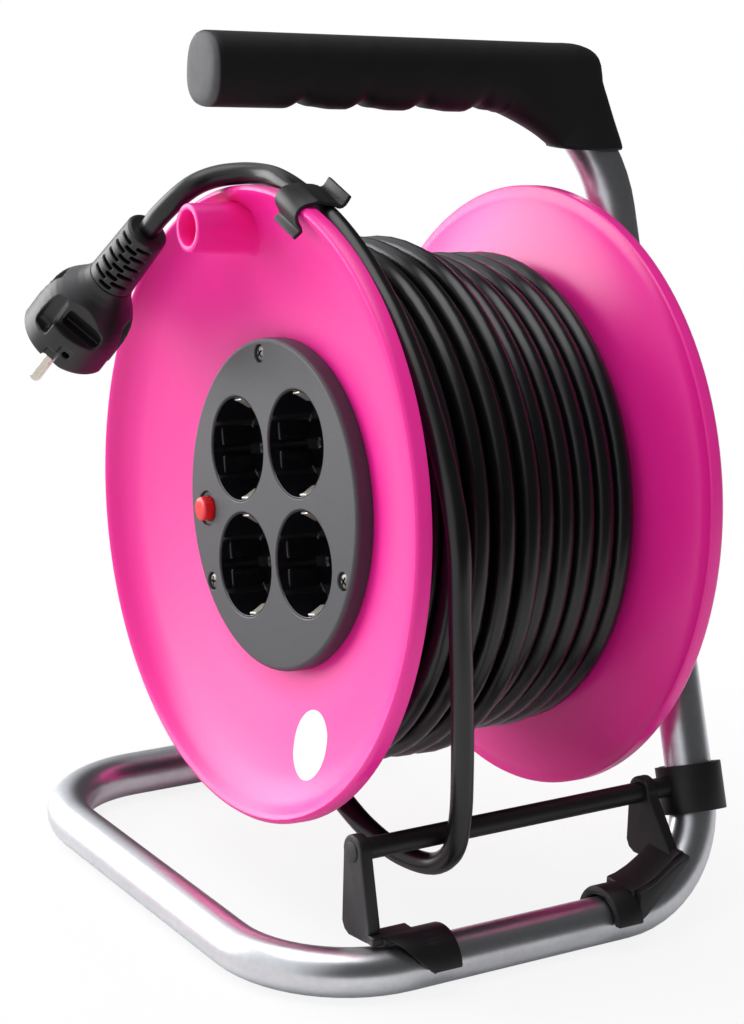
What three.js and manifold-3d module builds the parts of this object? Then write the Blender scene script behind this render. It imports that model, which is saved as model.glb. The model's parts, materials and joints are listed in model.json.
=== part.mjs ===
// Extension cord reel: a bent tube stand, a drum with four earthed sockets, and 20 m of cord.
// Millimetres, +Z up, the socket side faces -Y. The drum and the upright lean back together.
import * as THREE from 'three';
import { mergeVertices } from 'three/addons/utils/BufferGeometryUtils.js';
import Module from 'manifold-3d';

const wasm = await Module();
wasm.setup();

// ---- driving dimensions ----
const LEAN_BACK = THREE.MathUtils.degToRad(2.4); // drum axis, nose up
const SPIN = THREE.MathUtils.degToRad(14.4); // how far the drum is turned on its axle
const AXIS_HEIGHT = 154; // drum axis above the floor, at the front rim
const TUBE = { flat: 9, wall: 1.5, sides: 12 }; // 18 mm across the flats
const BASE = { left: -110, right: 110, front: -38, leftEnd: 118, corner: 46 };
const UPRIGHT = { plane: 151.6, xAtAxis: 56, slope: 0.3866, footBend: 42, topBend: 52 };
const GRIP = { z: 161.5, front: -24, tubeEnd: -14, width: 24, top: 175, under: 148, groove: 2.2 };
const RIM = { radius: 120, depth: 6.2, rear: 133.5 };
const BARREL = { inner: 56.8, outer: 61.5, front: 27.3, rear: 106.2 };
const COVER = { radius: 63.3, front: 10.9, rear: 17.7 };
const SOCKET = { offset: 22.4, well: 19.75, rim: 20, outer: 21.2, floor: 28.4, back: 31.4, pin: 9.5 };
const COVER_LIP = 12.4; // how far back the narrow part of each well hole reaches
const BUTTON = { x: -50.2, radius: 4.75, stem: 3.0 };
const SCREW = { ring: 57.6, head: 3.2, shank: 1.9 };
const KNOB = { x: 0, z: 105, base: 10, end: 8.8, bore: 7, front: -16 };
const AXLE = { radius: 8, front: 58 };
const CORD_D = 8.3;
const WIND = { rear: 110.2, front: 21.6, mid: 70, rearRadius: 90.2, frontRadius: 96.8 };
const ROD = { x: 94, z: -104, radius: 4 };
const FIT = 0.3; // gap kept between touching pieces

// ---- materials ----
const paint = (color, roughness, metalness = 0) =>
  new THREE.MeshStandardMaterial({ color, roughness, metalness });
const pink = paint(0xff2f92, 0.35);
const steel = paint(0xb9bdc2, 0.3, 0.9);
const nickel = paint(0xd8d6cf, 0.2, 1);
const brass = paint(0xc9a24a, 0.3, 1);
const grey = paint(0x55565b, 0.5);
const black = paint(0x17171a, 0.45);
const gloss = paint(0x0a0a0c, 0.12);
const rubber = paint(0x121214, 0.8);
const jacket = paint(0x1a1a1c, 0.5);
const red = paint(0xd8141c, 0.3);
const natural = paint(0xe8e4d8, 0.5);

// ---- solids ----
// One closed, outward facing surface with shared corners and no slivers of zero area.
function closed(geometry) {
  geometry.deleteAttribute('normal');
  geometry.deleteAttribute('uv');
  const merged = mergeVertices(geometry, 1e-4);
  const index = merged.index.array;
  const corner = (i) => new THREE.Vector3().fromBufferAttribute(merged.attributes.position, i);
  const kept = [];
  let volume = 0;
  for (let i = 0; i < index.length; i += 3) {
    const [a, b, c] = [index[i], index[i + 1], index[i + 2]];
    if (a === b || b === c || c === a) continue;
    kept.push(a, b, c);
    volume += corner(a).dot(corner(b).cross(corner(c)));
  }
  if (volume < 0) kept.reverse();
  merged.setIndex(kept);
  return merged;
}

function toSolid(geometry) {
  const shape = closed(geometry);
  return new wasm.Manifold(new wasm.Mesh({
    numProp: 3,
    vertProperties: new Float32Array(shape.attributes.position.array),
    triVerts: new Uint32Array(shape.index.array),
  }));
}

function toGeometry(solid) {
  const mesh = solid.getMesh();
  const geometry = new THREE.BufferGeometry();
  geometry.setAttribute('position', new THREE.BufferAttribute(mesh.vertProperties, 3));
  geometry.setIndex([...mesh.triVerts]);
  return geometry;
}

const join = (...solids) => solids.reduce((whole, next) => whole.add(next));
const cut = (body, ...tools) => tools.reduce((rest, tool) => rest.subtract(tool), body);

function block(x0, x1, y0, y1, z0, z1) {
  const box = new THREE.BoxGeometry(x1 - x0, y1 - y0, z1 - z0);
  return toSolid(box.translate((x0 + x1) / 2, (y0 + y1) / 2, (z0 + z1) / 2));
}

// A solid of revolution about the Y axis from [radius, y] pairs.
function turned(profile, segments = 48) {
  const outline = [...profile, profile[0]].map(([r, y]) => new THREE.Vector2(r, y));
  return toSolid(new THREE.LatheGeometry(outline, segments));
}

// A disc or ring with its axis along Y, centred on x, z.
function disc(radius, y0, y1, x = 0, z = 0, bore = 0, segments = 24) {
  const profile = [[bore, y0], [radius, y0], [radius, y1], [bore, y1]];
  return turned(profile, segments).translate([x, 0, z]);
}

// An outline in X and Z, given thickness along Y.
function plateXZ(points, y0, y1) {
  const shape = new THREE.Shape(points.map(([x, z]) => new THREE.Vector2(x, z)));
  const geometry = new THREE.ExtrudeGeometry(shape, { depth: y1 - y0, bevelEnabled: false });
  return toSolid(geometry.rotateX(Math.PI / 2).translate(0, y1, 0));
}

// An outline in Y and Z, given thickness along X.
function plateYZ(points, x0, x1) {
  const shape = new THREE.Shape(points.map(([y, z]) => new THREE.Vector2(y, z)));
  const geometry = new THREE.ExtrudeGeometry(shape, { depth: x1 - x0, bevelEnabled: false });
  const upright = new THREE.Matrix4().makeBasis(
    new THREE.Vector3(0, 1, 0), new THREE.Vector3(0, 0, 1), new THREE.Vector3(1, 0, 0));
  return toSolid(geometry.applyMatrix4(upright).translate(x0, 0, 0));
}

// Corner points of a round section with flats above, below and at the sides.
function section(flatRadius, sides) {
  const radius = flatRadius / Math.cos(Math.PI / sides);
  return Array.from({ length: sides }, (_, i) => {
    const angle = ((i + 0.5) / sides) * 2 * Math.PI;
    return new THREE.Vector2(radius * Math.cos(angle), radius * Math.sin(angle));
  });
}

function sweep(path, flatRadius, sides, steps) {
  const shape = new THREE.Shape(section(flatRadius, sides));
  return toSolid(new THREE.ExtrudeGeometry(shape, { steps, extrudePath: path }));
}

const smooth = (points) => new THREE.CatmullRomCurve3(points, false, 'centripetal');
const v3 = ([x, y, z]) => new THREE.Vector3(x, y, z);

// A closed solid through rings that all have the same number of corners.
function loft(rings) {
  const sides = rings[0].length;
  const last = rings.length - 1;
  const index = [];
  const corner = (ring, side) => ring * sides + (side % sides);
  for (let i = 0; i < last; i++) {
    for (let s = 0; s < sides; s++) {
      index.push(corner(i, s), corner(i + 1, s), corner(i, s + 1));
      index.push(corner(i, s + 1), corner(i + 1, s), corner(i + 1, s + 1));
    }
  }
  for (let s = 1; s < sides - 1; s++) {
    index.push(corner(0, 0), corner(0, s), corner(0, s + 1));
    index.push(corner(last, 0), corner(last, s + 1), corner(last, s));
  }
  const geometry = new THREE.BufferGeometry();
  const position = rings.flat().flatMap((point) => point.toArray());
  geometry.setAttribute('position', new THREE.Float32BufferAttribute(position, 3));
  geometry.setIndex(index);
  return toSolid(geometry);
}

// Places and directions along straight runs with a circular bend at each inner corner.
function bentRun(points, radii, bendSteps = 6) {
  const direction = (i) => points[i + 1].clone().sub(points[i]).normalize();
  const stations = [{ at: points[0], along: direction(0) }];
  for (let i = 1; i < points.length - 1; i++) {
    const [from, to, radius] = [direction(i - 1), direction(i), radii[i - 1]];
    const turn = from.angleTo(to);
    const start = points[i].clone().addScaledVector(from, -radius * Math.tan(turn / 2));
    const inward = to.clone().addScaledVector(from, -to.dot(from)).normalize();
    for (let k = 0; k <= bendSteps; k++) {
      const angle = (turn * k) / bendSteps;
      const mix = (a, b) => from.clone().multiplyScalar(a).addScaledVector(inward, b);
      stations.push({
        at: start.clone().add(mix(radius * Math.sin(angle), radius * (1 - Math.cos(angle)))),
        along: mix(Math.cos(angle), Math.sin(angle)),
      });
    }
  }
  const last = points.length - 1;
  stations.push({ at: points[last], along: direction(last - 1) });
  return stations;
}

// A rod that follows such a run, drawn out by a little at both ends where it is a bore.
function rodAlong(stations, flatRadius, sides, extra = 0) {
  let side = stations[0].along.clone().cross(new THREE.Vector3(0, 0, 1)).normalize();
  let before = stations[0].along;
  return loft(stations.map(({ at, along }, i) => {
    side = side.clone().applyQuaternion(new THREE.Quaternion().setFromUnitVectors(before, along));
    before = along;
    const rise = side.clone().cross(along);
    const shift = i === 0 ? -extra : (i === stations.length - 1) * extra;
    return section(flatRadius, sides).map(({ x, y }) => at.clone()
      .addScaledVector(along, shift).addScaledVector(side, x).addScaledVector(rise, y));
  }));
}

// ---- the scene graph ----
const model = new THREE.Group();
const stand = new THREE.Group(); // level with the floor, origin under the drum's front centre
const tilted = new THREE.Group(); // leans back with the drum and the upright
const drum = new THREE.Group(); // turns on the axle
tilted.position.z = AXIS_HEIGHT;
tilted.rotation.x = -LEAN_BACK;
drum.rotation.y = -SPIN;
model.add(stand);
stand.add(tilted);
tilted.add(drum);
model.updateMatrixWorld(true);

function add(parent, name, solid, material) {
  const mesh = new THREE.Mesh(toGeometry(solid), material);
  mesh.name = name;
  parent.add(mesh);
  return mesh;
}

const toStand = (point) => tilted.localToWorld(point.clone());
const uprightX = (z) => UPRIGHT.xAtAxis - UPRIGHT.slope * z;
const uprightPoint = (z) => new THREE.Vector3(uprightX(z), UPRIGHT.plane, z);

// ---- stand: one tube from the left run, round the base, up the back and into the grip ----
function tubeRun() {
  const { left, right, front, leftEnd, corner } = BASE;
  const floor = TUBE.flat;
  const footZ = toStand(uprightPoint(-139)).z;
  const footLevel = -139 + (floor - footZ) / Math.cos(LEAN_BACK);
  const foot = toStand(uprightPoint(footLevel));
  foot.x = right;
  const corners = [
    new THREE.Vector3(left, leftEnd, floor),
    new THREE.Vector3(left, front, floor),
    new THREE.Vector3(right, front, floor),
    foot,
    toStand(uprightPoint(GRIP.z)),
    toStand(new THREE.Vector3(uprightX(GRIP.z), GRIP.tubeEnd, GRIP.z)),
  ];
  return bentRun(corners, [corner, corner, UPRIGHT.footBend, UPRIGHT.topBend]);
}

const standTube = tubeRun();
const boltHeights = [-17, 17];

function frameTube() {
  const tube = rodAlong(standTube, TUBE.flat, TUBE.sides);
  const bore = rodAlong(standTube, TUBE.flat - TUBE.wall, 8, 1);
  const lean = tilted.matrixWorld;
  const holes = boltHeights.map((z) => {
    const hole = disc(3.4, 138, 165, uprightX(z), z, 0, 12);
    return hole.transform(lean.elements);
  });
  return cut(tube, bore, ...holes);
}
add(stand, 'frame_tube', frameTube(), steel);

function tubeEndPlug() {
  const y = BASE.leftEnd;
  const head = disc(TUBE.flat + 0.3, y + FIT, y + 4, BASE.left, TUBE.flat + FIT, 0, 16);
  const spigot = disc(TUBE.flat - TUBE.wall - 0.5, y - 12, y + 1, BASE.left, TUBE.flat, 0, 8);
  return join(head, spigot);
}
add(stand, 'tube_end_plug', tubeEndPlug(), black);

// One oval ring of the grip between an upper and a lower point of its side view [y, z].
function gripRing([topY, topZ], [lowY, lowZ], inset = 0) {
  const sides = 16;
  const squared = (value) => Math.sign(value) * Math.abs(value) ** 0.8;
  return Array.from({ length: sides }, (_, i) => {
    const angle = ((i + 0.5) / sides) * 2 * Math.PI;
    const across = squared(Math.cos(angle)) * (GRIP.width / 2 - inset);
    const rise = (1 + squared(Math.sin(angle))) / 2;
    const y = THREE.MathUtils.lerp(lowY, topY, rise);
    const z = THREE.MathUtils.lerp(lowZ, topZ, rise);
    const lean = UPRIGHT.slope * Math.max(0, GRIP.z - z) * THREE.MathUtils.smoothstep(y, 100, 130);
    return new THREE.Vector3(uprightX(GRIP.z) + lean + across, y, z);
  });
}

function grip() {
  const { front, top, under, groove } = GRIP;
  const rings = [gripRing([front, top - 2], [front, under + 2], 2),
    gripRing([front + 2, top], [front + 2, under])];
  for (let i = 0; i < 4; i++) {
    const y = 16 + i * 26;
    rings.push(gripRing([y - 6, top], [y - 6, under]));
    rings.push(gripRing([y, top], [y, under + groove]));
    rings.push(gripRing([y + 6, top], [y + 6, under + 0.8]));
  }
  const elbow = [[[112, top], [107, under - 0.4]], [[128, top], [116, 143.6]],
    [[142, top - 0.4], [122.5, 139.6]], [[149.4, top - 4], [125, 137.6]],
    [[152.4, 160], [126, 136.6]], [[155, 148], [126.4, 136.2]], [[157.6, 136], [126.6, 136]]];
  rings.push(...elbow.map(([upper, lower]) => gripRing(upper, lower)));
  const upright = tilted.matrixWorld.clone().invert();
  const bore = rodAlong(standTube, TUBE.flat + FIT, TUBE.sides, 0.6).transform(upright.elements);
  return cut(loft(rings), bore);
}
add(tilted, 'handle_grip', grip(), rubber);

// ---- cable guide: rod, two arms with snap clips on the right run, collar on the upright ----
const SNAP = { inner: 9.8, outer: 13.2, from: 6, to: 214 };

// A part ring over the right run, from one angle to another, counted up from +X.
function snapRing(from, to, y0, y1) {
  const steps = 14;
  const arc = (radius) => Array.from({ length: steps + 1 }, (_, i) => {
    const angle = THREE.MathUtils.degToRad(from + ((to - from) * i) / steps);
    return [BASE.right + radius * Math.cos(angle), TUBE.flat + radius * Math.sin(angle)];
  });
  return plateXZ([...arc(SNAP.outer), ...arc(SNAP.inner).reverse()], y0, y1);
}

// A flat arm across the end of the rod, from its round head down to its foot.
function guideArm(y0, y1, footZ) {
  const rodZ = AXIS_HEIGHT + ROD.z;
  const { x } = ROD;
  return plateXZ([[x - 6, rodZ + 3], [x - 3, rodZ + 6], [x + 3, rodZ + 6], [x + 6, rodZ + 2],
    [x + 13, footZ + 7], [x + 12, footZ + 1.6], [x - 2, footZ], [x - 6, footZ + 4]], y0, y1);
}

// The front foot runs on over the tube and drops to the lower edge of its clip.
function frontFoot() {
  const ring = snapRing(SNAP.from, 95, -6.4, 12);
  const under = plateYZ([[-8, 5], [-8, 22.7], [-1.4, 22], [12.5, 9.5], [12.5, 5]], 100, 130);
  const web = block(96, 110, -6.4, -1.4, 18.9, 22.6);
  const bridge = block(101.5, 111, -2, 12, 18.9, 22);
  return join(cut(ring, under), web, bridge);
}

// The rear foot slopes down over the tube, where it starts to rise.
const rearFoot = () => plateYZ([[104, 19.2], [110, 19.6], [116, 20.9], [122, 23.3], [127, 26.1],
  [127, 33], [122, 33], [112, 25.5], [104, 22.2]], 98, 108);

function guideCollar() {
  const outer = 12.8;
  const inner = 10.5;
  const half = 9.2;
  const ring = disc(outer, -half, half, 0, 0, inner, 24);
  const lean = new THREE.Matrix4().makeRotationX(Math.PI / 2);
  lean.premultiply(new THREE.Matrix4().makeRotationY(-Math.atan(UPRIGHT.slope)));
  const centre = uprightPoint(-99.9);
  lean.setPosition(centre);
  const slot = block(-16, -8, -half - 1, half + 1, -3, 3).rotate([0, 38, 0]);
  return cut(ring, slot).transform(new THREE.Matrix4().multiplyMatrices(tilted.matrixWorld, lean).elements);
}

function cableGuide() {
  const rodZ = AXIS_HEIGHT + ROD.z;
  const rod = disc(ROD.radius, -7, 136.5, ROD.x, rodZ, 0, 12);
  const front = join(guideArm(-6.4, -1.4, 17.5), frontFoot(), snapRing(SNAP.from, SNAP.to, 11.5, 24));
  const rear = join(guideArm(122, 127, 25), rearFoot(), snapRing(SNAP.from, SNAP.to, 94, 105.5));
  return join(rod, front, rear, guideCollar());
}
add(stand, 'cable_guide', cableGuide(), black);

// ---- axle and the bracket that carries it on the upright ----
const bracketPlate = { front: 137.8, rear: 141.9 };

function axleBracket() {
  const around = (x, z, r, from, to) => Array.from({ length: 9 }, (_, i) => {
    const angle = THREE.MathUtils.degToRad(from + ((to - from) * i) / 8);
    return [x + r * Math.cos(angle), z + r * Math.sin(angle)];
  });
  const outline = [...around(0, 0, 20, 90, 270), [40, -30], [uprightX(-30) + 10, -30],
    [uprightX(30) + 10, 30], [40, 30]];
  const plate = plateXZ(outline, bracketPlate.front, bracketPlate.rear);
  const boss = disc(13, 125, bracketPlate.front + 1, 0, 0, 0, 20);
  const holes = boltHeights.map((z) => disc(3.4, 130, 145, uprightX(z), z, 0, 12));
  return cut(join(plate, boss), disc(AXLE.radius + FIT, 120, 150), ...holes);
}
add(tilted, 'axle_bracket', axleBracket(), steel);

function axlePin() {
  const { radius, front } = AXLE;
  return join(disc(radius, 72, 143.5), disc(5, front, 73, 0, 0, 0, 16), disc(11, 142.2, 146));
}
add(tilted, 'axle_pin', axlePin(), steel);
add(tilted, 'axle_washer', disc(15, 69.7, 71.7, 0, 0, 5.3), steel);

function hexNut(across, bore, y0, y1, x = 0, z = 0) {
  const body = disc(across / Math.sqrt(3), y0, y1, x, z, 0, 6);
  return bore ? cut(body, disc(bore, y0 - 1, y1 + 1, x, z, 0, 12)) : body;
}
add(tilted, 'axle_nut', hexNut(16, 5.4, 61, 69.4), steel);

['lower', 'upper'].forEach((level, i) => {
  const z = boltHeights[i];
  const x = uprightX(z);
  const head = hexNut(10, 0, 133.6, 137.5, x, z);
  add(tilted, `bracket_bolt_${level}`, join(head, disc(3, 137, 167.5, x, z, 0, 12)), steel);
  add(tilted, `bracket_nut_${level}`, hexNut(10, 3.4, 161.6, 166.4, x, z), steel);
});

// ---- drum shells ----
const rimFace = [[64, 18], [90, 12.8], [111, 6.6], [116, 1.6], [118, 0], [RIM.radius, 1.4]];
const rimBack = [[RIM.radius, RIM.depth], [117.2, RIM.depth], [112, 9.2], [90, 15.4], [64, 20.6],
  [BARREL.outer, 20.8]];

const coverScrews = [90, 210, 330].map((degrees) => {
  const angle = THREE.MathUtils.degToRad(degrees);
  return [SCREW.ring * Math.cos(angle), SCREW.ring * Math.sin(angle)];
});

function frontFlange() {
  const ring = [[BARREL.outer, BARREL.front - FIT], [54.5, BARREL.front - FIT], [54.5, 18]];
  const shell = turned([...rimFace, ...rimBack, ...ring], 48);
  const outer = [[0, 16], [KNOB.base, 16], [KNOB.base, 12], [KNOB.end, KNOB.front + 1],
    [KNOB.end - 0.6, KNOB.front], [0, KNOB.front]];
  const knob = turned(outer, 20).translate([KNOB.x, 0, KNOB.z]);
  const bore = disc(KNOB.bore, KNOB.front - 1, 7.5, KNOB.x, KNOB.z, 0, 20);
  const trimmed = knob.subtract(turned([[0, 14.4], [93, 14.4], [111, 9], [117, 7], [130, 7],
    [130, 40], [0, 40]], 48));
  const screwHoles = coverScrews.map(([x, z]) => disc(2.2, 17, 26, x, z, 0, 10));
  const notch = block(-58, -50, 17, 28, -8, 8);
  return cut(join(shell, trimmed), bore, notch, ...screwHoles);
}
add(drum, 'front_flange', frontFlange(), pink);

const rearScrews = [30, 150, 270].map((degrees) => {
  const angle = THREE.MathUtils.degToRad(degrees);
  return [59.2 * Math.cos(angle), 59.2 * Math.sin(angle)];
});

function rearFlange() {
  const mirror = ([r, y]) => [r, RIM.rear - y];
  const hub = [[11.3, 72.4], [15.5, 72.4], [15.5, 112.9], [54.5, 112.9],
    [54.5, BARREL.rear + FIT], [BARREL.outer, BARREL.rear + FIT]];
  const web = [[19, 115.5], [19, 119], [11.3, 119]];
  const inner = rimBack.map(mirror).reverse();
  const outer = rimFace.map(mirror).reverse();
  const shell = turned([...hub, ...inner, ...outer, ...web], 48);
  return cut(shell, ...rearScrews.map(([x, z]) => disc(1.8, 100, 120, x, z, 0, 10)));
}
add(drum, 'rear_flange', rearFlange(), pink);

const GLAND_Y = 44;
function drumBarrel() {
  const { inner, outer, front, rear } = BARREL;
  const holes = rearScrews.map(([x, z]) => disc(1.8, 98, 108, x, z, 0, 10));
  const gland = disc(7.3, 50, 66, 0, 0, 0, 16).rotate([-90, 0, 0]).translate([0, GLAND_Y, 0]);
  return cut(disc(outer, front, rear, 0, 0, inner, 48), gland, ...holes);
}
add(drum, 'drum_barrel', drumBarrel(), pink);
rearScrews.forEach(([x, z], i) => {
  add(drum, `rear_screw_${i + 1}`, join(disc(3, 116, 118, x, z, 0, 12),
    disc(1.4, 99, 117, x, z, 0, 8)), steel);
});
add(drum, 'bearing_bush', disc(10.9, 73, 118.6, 0, 0, 8.3), natural);

// ---- socket cover, sockets, contacts and the thermal cut-out ----
const { offset } = SOCKET;
const socketPlaces = [[-offset, offset], [offset, offset], [-offset, -offset], [offset, -offset]];

function socketCover() {
  const { radius, front, rear } = COVER;
  const body = turned([[0, front], [radius - 1.2, front], [radius, front + 1.2], [radius, rear],
    [0, rear]], 48);
  const wells = socketPlaces.flatMap(([x, z]) => [disc(SOCKET.rim + FIT, 5, 20, x, z, 0, 28),
    disc(SOCKET.outer + FIT, COVER_LIP, 20, x, z, 0, 28)]);
  const screws = coverScrews.flatMap(([x, z]) =>
    [disc(3.5, 5, 13.7, x, z, 0, 16), disc(2.2, 5, 20, x, z, 0, 10)]);
  return cut(body, ...wells, ...screws, disc(6.9, 5, 20, BUTTON.x, 0));
}
add(drum, 'socket_cover', socketCover(), grey);

function socketInsert(x, z) {
  const { well, rim, outer, floor, back, pin } = SOCKET;
  const front = COVER.front + FIT;
  const cup = join(disc(rim, front, back, x, z, 0, 28),
    disc(outer, COVER_LIP + FIT, back, x, z, 0, 28));
  const hollow = disc(well, front - 1, floor, x, z, 0, 28);
  const body = cut(cup, hollow);
  const blocks = [-1, 1].map((side) =>
    block(x - 11, x + 11, floor - 8, floor + 1, z + side * 8.6 - 5.2, z + side * 8.6 + 5.2));
  const guides = [-1, 1].map((side) =>
    block(x + side * 18.6 - 1.6, x + side * 18.6 + 1.6, front + 3, floor + 1, z - 2.6, z + 2.6));
  const slots = [-1, 1].map((side) =>
    block(x - 2.6, x + 2.6, floor - 1, back + 1, z + side * 18.2 - 0.9, z + side * 18.2 + 0.9));
  const pins = [-1, 1].map((side) => disc(2.7, floor - 1, back + 1, x + side * pin, z, 0, 10));
  return cut(join(body, ...blocks, ...guides), ...slots, ...pins);
}

function earthClip(x, z) {
  const leg = (side) => block(x - 2, x + 2, 14, 32.3, z + side * 18.2 - 0.4, z + side * 18.2 + 0.4);
  return join(leg(-1), leg(1), block(x - 2, x + 2, 31.8, 32.6, z - 18.6, z + 18.6));
}

socketPlaces.forEach(([x, z], i) => {
  add(drum, `socket_insert_${i + 1}`, socketInsert(x, z), gloss);
  add(drum, `earth_clip_${i + 1}`, earthClip(x, z), nickel);
});

// Two upright strips with a pin sleeve at each end, joined by a cross strip.
function busbar(xs, y, crossZ, sleeveRadius) {
  const strips = xs.map((x) => block(x - 3, x + 3, y, y + 1.2, -offset - 3, offset + 3));
  const cross = block(Math.min(...xs), Math.max(...xs), y, y + 1.2, crossZ - 3, crossZ + 3);
  const sleeves = sleeveRadius ? xs.flatMap((x) => [-offset, offset].map((z) =>
    disc(sleeveRadius, 31.8, y + 1, x, z, 0, 8))) : [];
  return join(cross, ...strips, ...sleeves);
}
const { pin } = SOCKET;
add(drum, 'line_busbar', busbar([-offset - pin, offset - pin], 38.5, -6, 2.4), brass);
add(drum, 'neutral_busbar', busbar([-offset + pin, offset + pin], 42.5, 6, 2.4), brass);
add(drum, 'earth_busbar', busbar([-offset, offset], 34.2, 0, 0), brass);

function thermalCutout() {
  const body = block(-56, -44, 18.2, 46, -7.2, 7.2);
  const bush = disc(6.6, 11.8, 18.6, BUTTON.x, 0);
  const bore = join(disc(5.1, 11, 18, BUTTON.x, 0), disc(3.35, 17, 37, BUTTON.x, 0, 0, 16));
  return cut(join(body, bush), bore);
}
add(drum, 'thermal_cutout', thermalCutout(), black);
add(drum, 'reset_button', join(
  disc(BUTTON.radius, 8.4, 13.4, BUTTON.x, 0), disc(BUTTON.stem, 13, 35, BUTTON.x, 0, 0, 16)), red);
coverScrews.forEach(([x, z], i) => {
  add(drum, `cover_screw_${i + 1}`, join(disc(SCREW.head, 11.2, 13.4, x, z, 0, 16),
    disc(SCREW.shank, 13, 25.5, x, z, 0, 8)), steel);
});
add(drum, 'terminal_block', block(-14, 14, 47, 57, -42, -27), natural);

function cordGland() {
  const body = turned([[4.4, 49], [9, 49], [9, 56], [6.9, 56], [6.9, 61.8], [4.4, 61.8]], 12);
  return body.rotate([-90, 0, 0]).translate([0, GLAND_Y, 0]);
}
add(drum, 'cord_gland', cordGland(), black);

// ---- cable clip over the front rim ----
const CLIP = { angle: 79.5, tip: 8, width: 16, half: 0.7 }; // tipped to follow the rising cord

function stripOutline(points, half) {
  const side = (sign) => points.map((p, i) => {
    const before = points[Math.max(i - 1, 0)];
    const after = points[Math.min(i + 1, points.length - 1)];
    const along = after.clone().sub(before).normalize();
    return [p.x - sign * along.y * half, p.y + sign * along.x * half];
  });
  return [...side(1), ...side(-1).reverse()];
}

// A hook on the face, an arch over the rim, a plate that holds the cord, and a lip turned up.
function cableClip() {
  const path = [[-0.3, 108.7], [2, 111.4], [0.4, 114], [-1, 116.2], [-1.25, 118.2], [-0.7, 120],
    [0.7, 121.3], [2.8, 122], [6.6, 122.6], [9.4, 122.4], [12.2, 122.15], [14.3, 121.7],
    [15.8, 121.15], [17.3, 121.7], [18.3, 123.3], [19.1, 125.5]];
  const outline = stripOutline(path.map(([y, r]) => new THREE.Vector2(y, r)), CLIP.half);
  const level = plateYZ(outline, -CLIP.width / 2, CLIP.width / 2).translate([0, 0, -RIM.radius]);
  const atRim = level.rotate([0, CLIP.tip, 0]).translate([0, 0, RIM.radius]);
  return atRim.rotate([0, 90 - CLIP.angle, 0]);
}
add(tilted, 'cable_clip', cableClip(), black);

// ---- cord on the drum: a plain core, and the outer layer as one unbroken helix ----
const RADIUS = CORD_D / 2;
const windTurns = { rear: 4.4, front: 4.4 };
const turnsTotal = windTurns.rear + windTurns.front;
const WIND_END = THREE.MathUtils.degToRad(-87); // where the free loop leaves the winding

// Place on the layer after a number of turns: close laid at the rear, wider and higher in front.
function windingPoint(turns) {
  const { rear, front, mid, rearRadius, frontRadius } = WIND;
  const t = turns - windTurns.rear;
  const y = t < 0 ? mid - (t / windTurns.rear) * (rear - mid) : mid - (t / windTurns.front) * (mid - front);
  const step = THREE.MathUtils.smoothstep(t, -0.4, 0.3);
  const radius = THREE.MathUtils.lerp(rearRadius, frontRadius, step);
  const angle = WIND_END - (turnsTotal - turns) * 2 * Math.PI;
  return new THREE.Vector3(radius * Math.cos(angle), y, radius * Math.sin(angle));
}

// The rings of a tube through points that wind about the Y axis.
function tubeRings(points, radius, sides) {
  return points.map((point, i) => {
    const before = points[Math.max(i - 1, 0)];
    const after = points[Math.min(i + 1, points.length - 1)];
    const along = after.clone().sub(before).normalize();
    const out = new THREE.Vector3(point.x, 0, point.z).normalize();
    out.addScaledVector(along, -out.dot(along)).normalize();
    const across = along.clone().cross(out);
    return Array.from({ length: sides }, (_, s) => {
      const angle = (s / sides) * 2 * Math.PI;
      return point.clone().addScaledVector(out, radius * Math.cos(angle))
        .addScaledVector(across, radius * Math.sin(angle));
    });
  });
}

const WIND_STEPS = 24; // per turn
function windingPoints() {
  const count = Math.round(turnsTotal * WIND_STEPS);
  const helix = Array.from({ length: count + 1 }, (_, i) => windingPoint((i / count) * turnsTotal));
  const tangent = (a, b) => a.clone().sub(b).normalize().setY(0).normalize();
  const straight = (end, inner) => {
    const radial = new THREE.Vector3(end.x, 0, end.z).normalize();
    const along = tangent(end, inner);
    along.addScaledVector(radial, -along.dot(radial)).normalize();
    return end.clone().addScaledVector(along, CORD_D);
  };
  helix.unshift(straight(helix[0], helix[1]));
  helix.push(straight(helix[helix.length - 1], helix[helix.length - 2]));
  return helix;
}

const winding = windingPoints();
add(tilted, 'cord_winding', loft(tubeRings(winding, RADIUS, 6)), jacket);

function cordCore() {
  const under = (radius) => radius * Math.cos(Math.PI / WIND_STEPS) - RADIUS - 0.4;
  const rearUnder = under(WIND.rearRadius);
  const frontUnder = under(WIND.frontRadius);
  const inner = BARREL.outer + 1.2;
  return turned([[inner, 22.2], [frontUnder, 18], [frontUnder, WIND.mid - 9],
    [rearUnder, WIND.mid - 5], [rearUnder, 115.2], [inner, 110.6]], 40);
}
add(drum, 'cord_core', cordCore(), jacket);

// ---- free cord: the loop under the guide rod, and the tail with its plug ----
const polar = (degrees, radius, y) => {
  const angle = THREE.MathUtils.degToRad(degrees);
  return new THREE.Vector3(radius * Math.cos(angle), y, radius * Math.sin(angle));
};

const cordSolid = (route, steps) => sweep(smooth(route), RADIUS, 8, steps);

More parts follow.
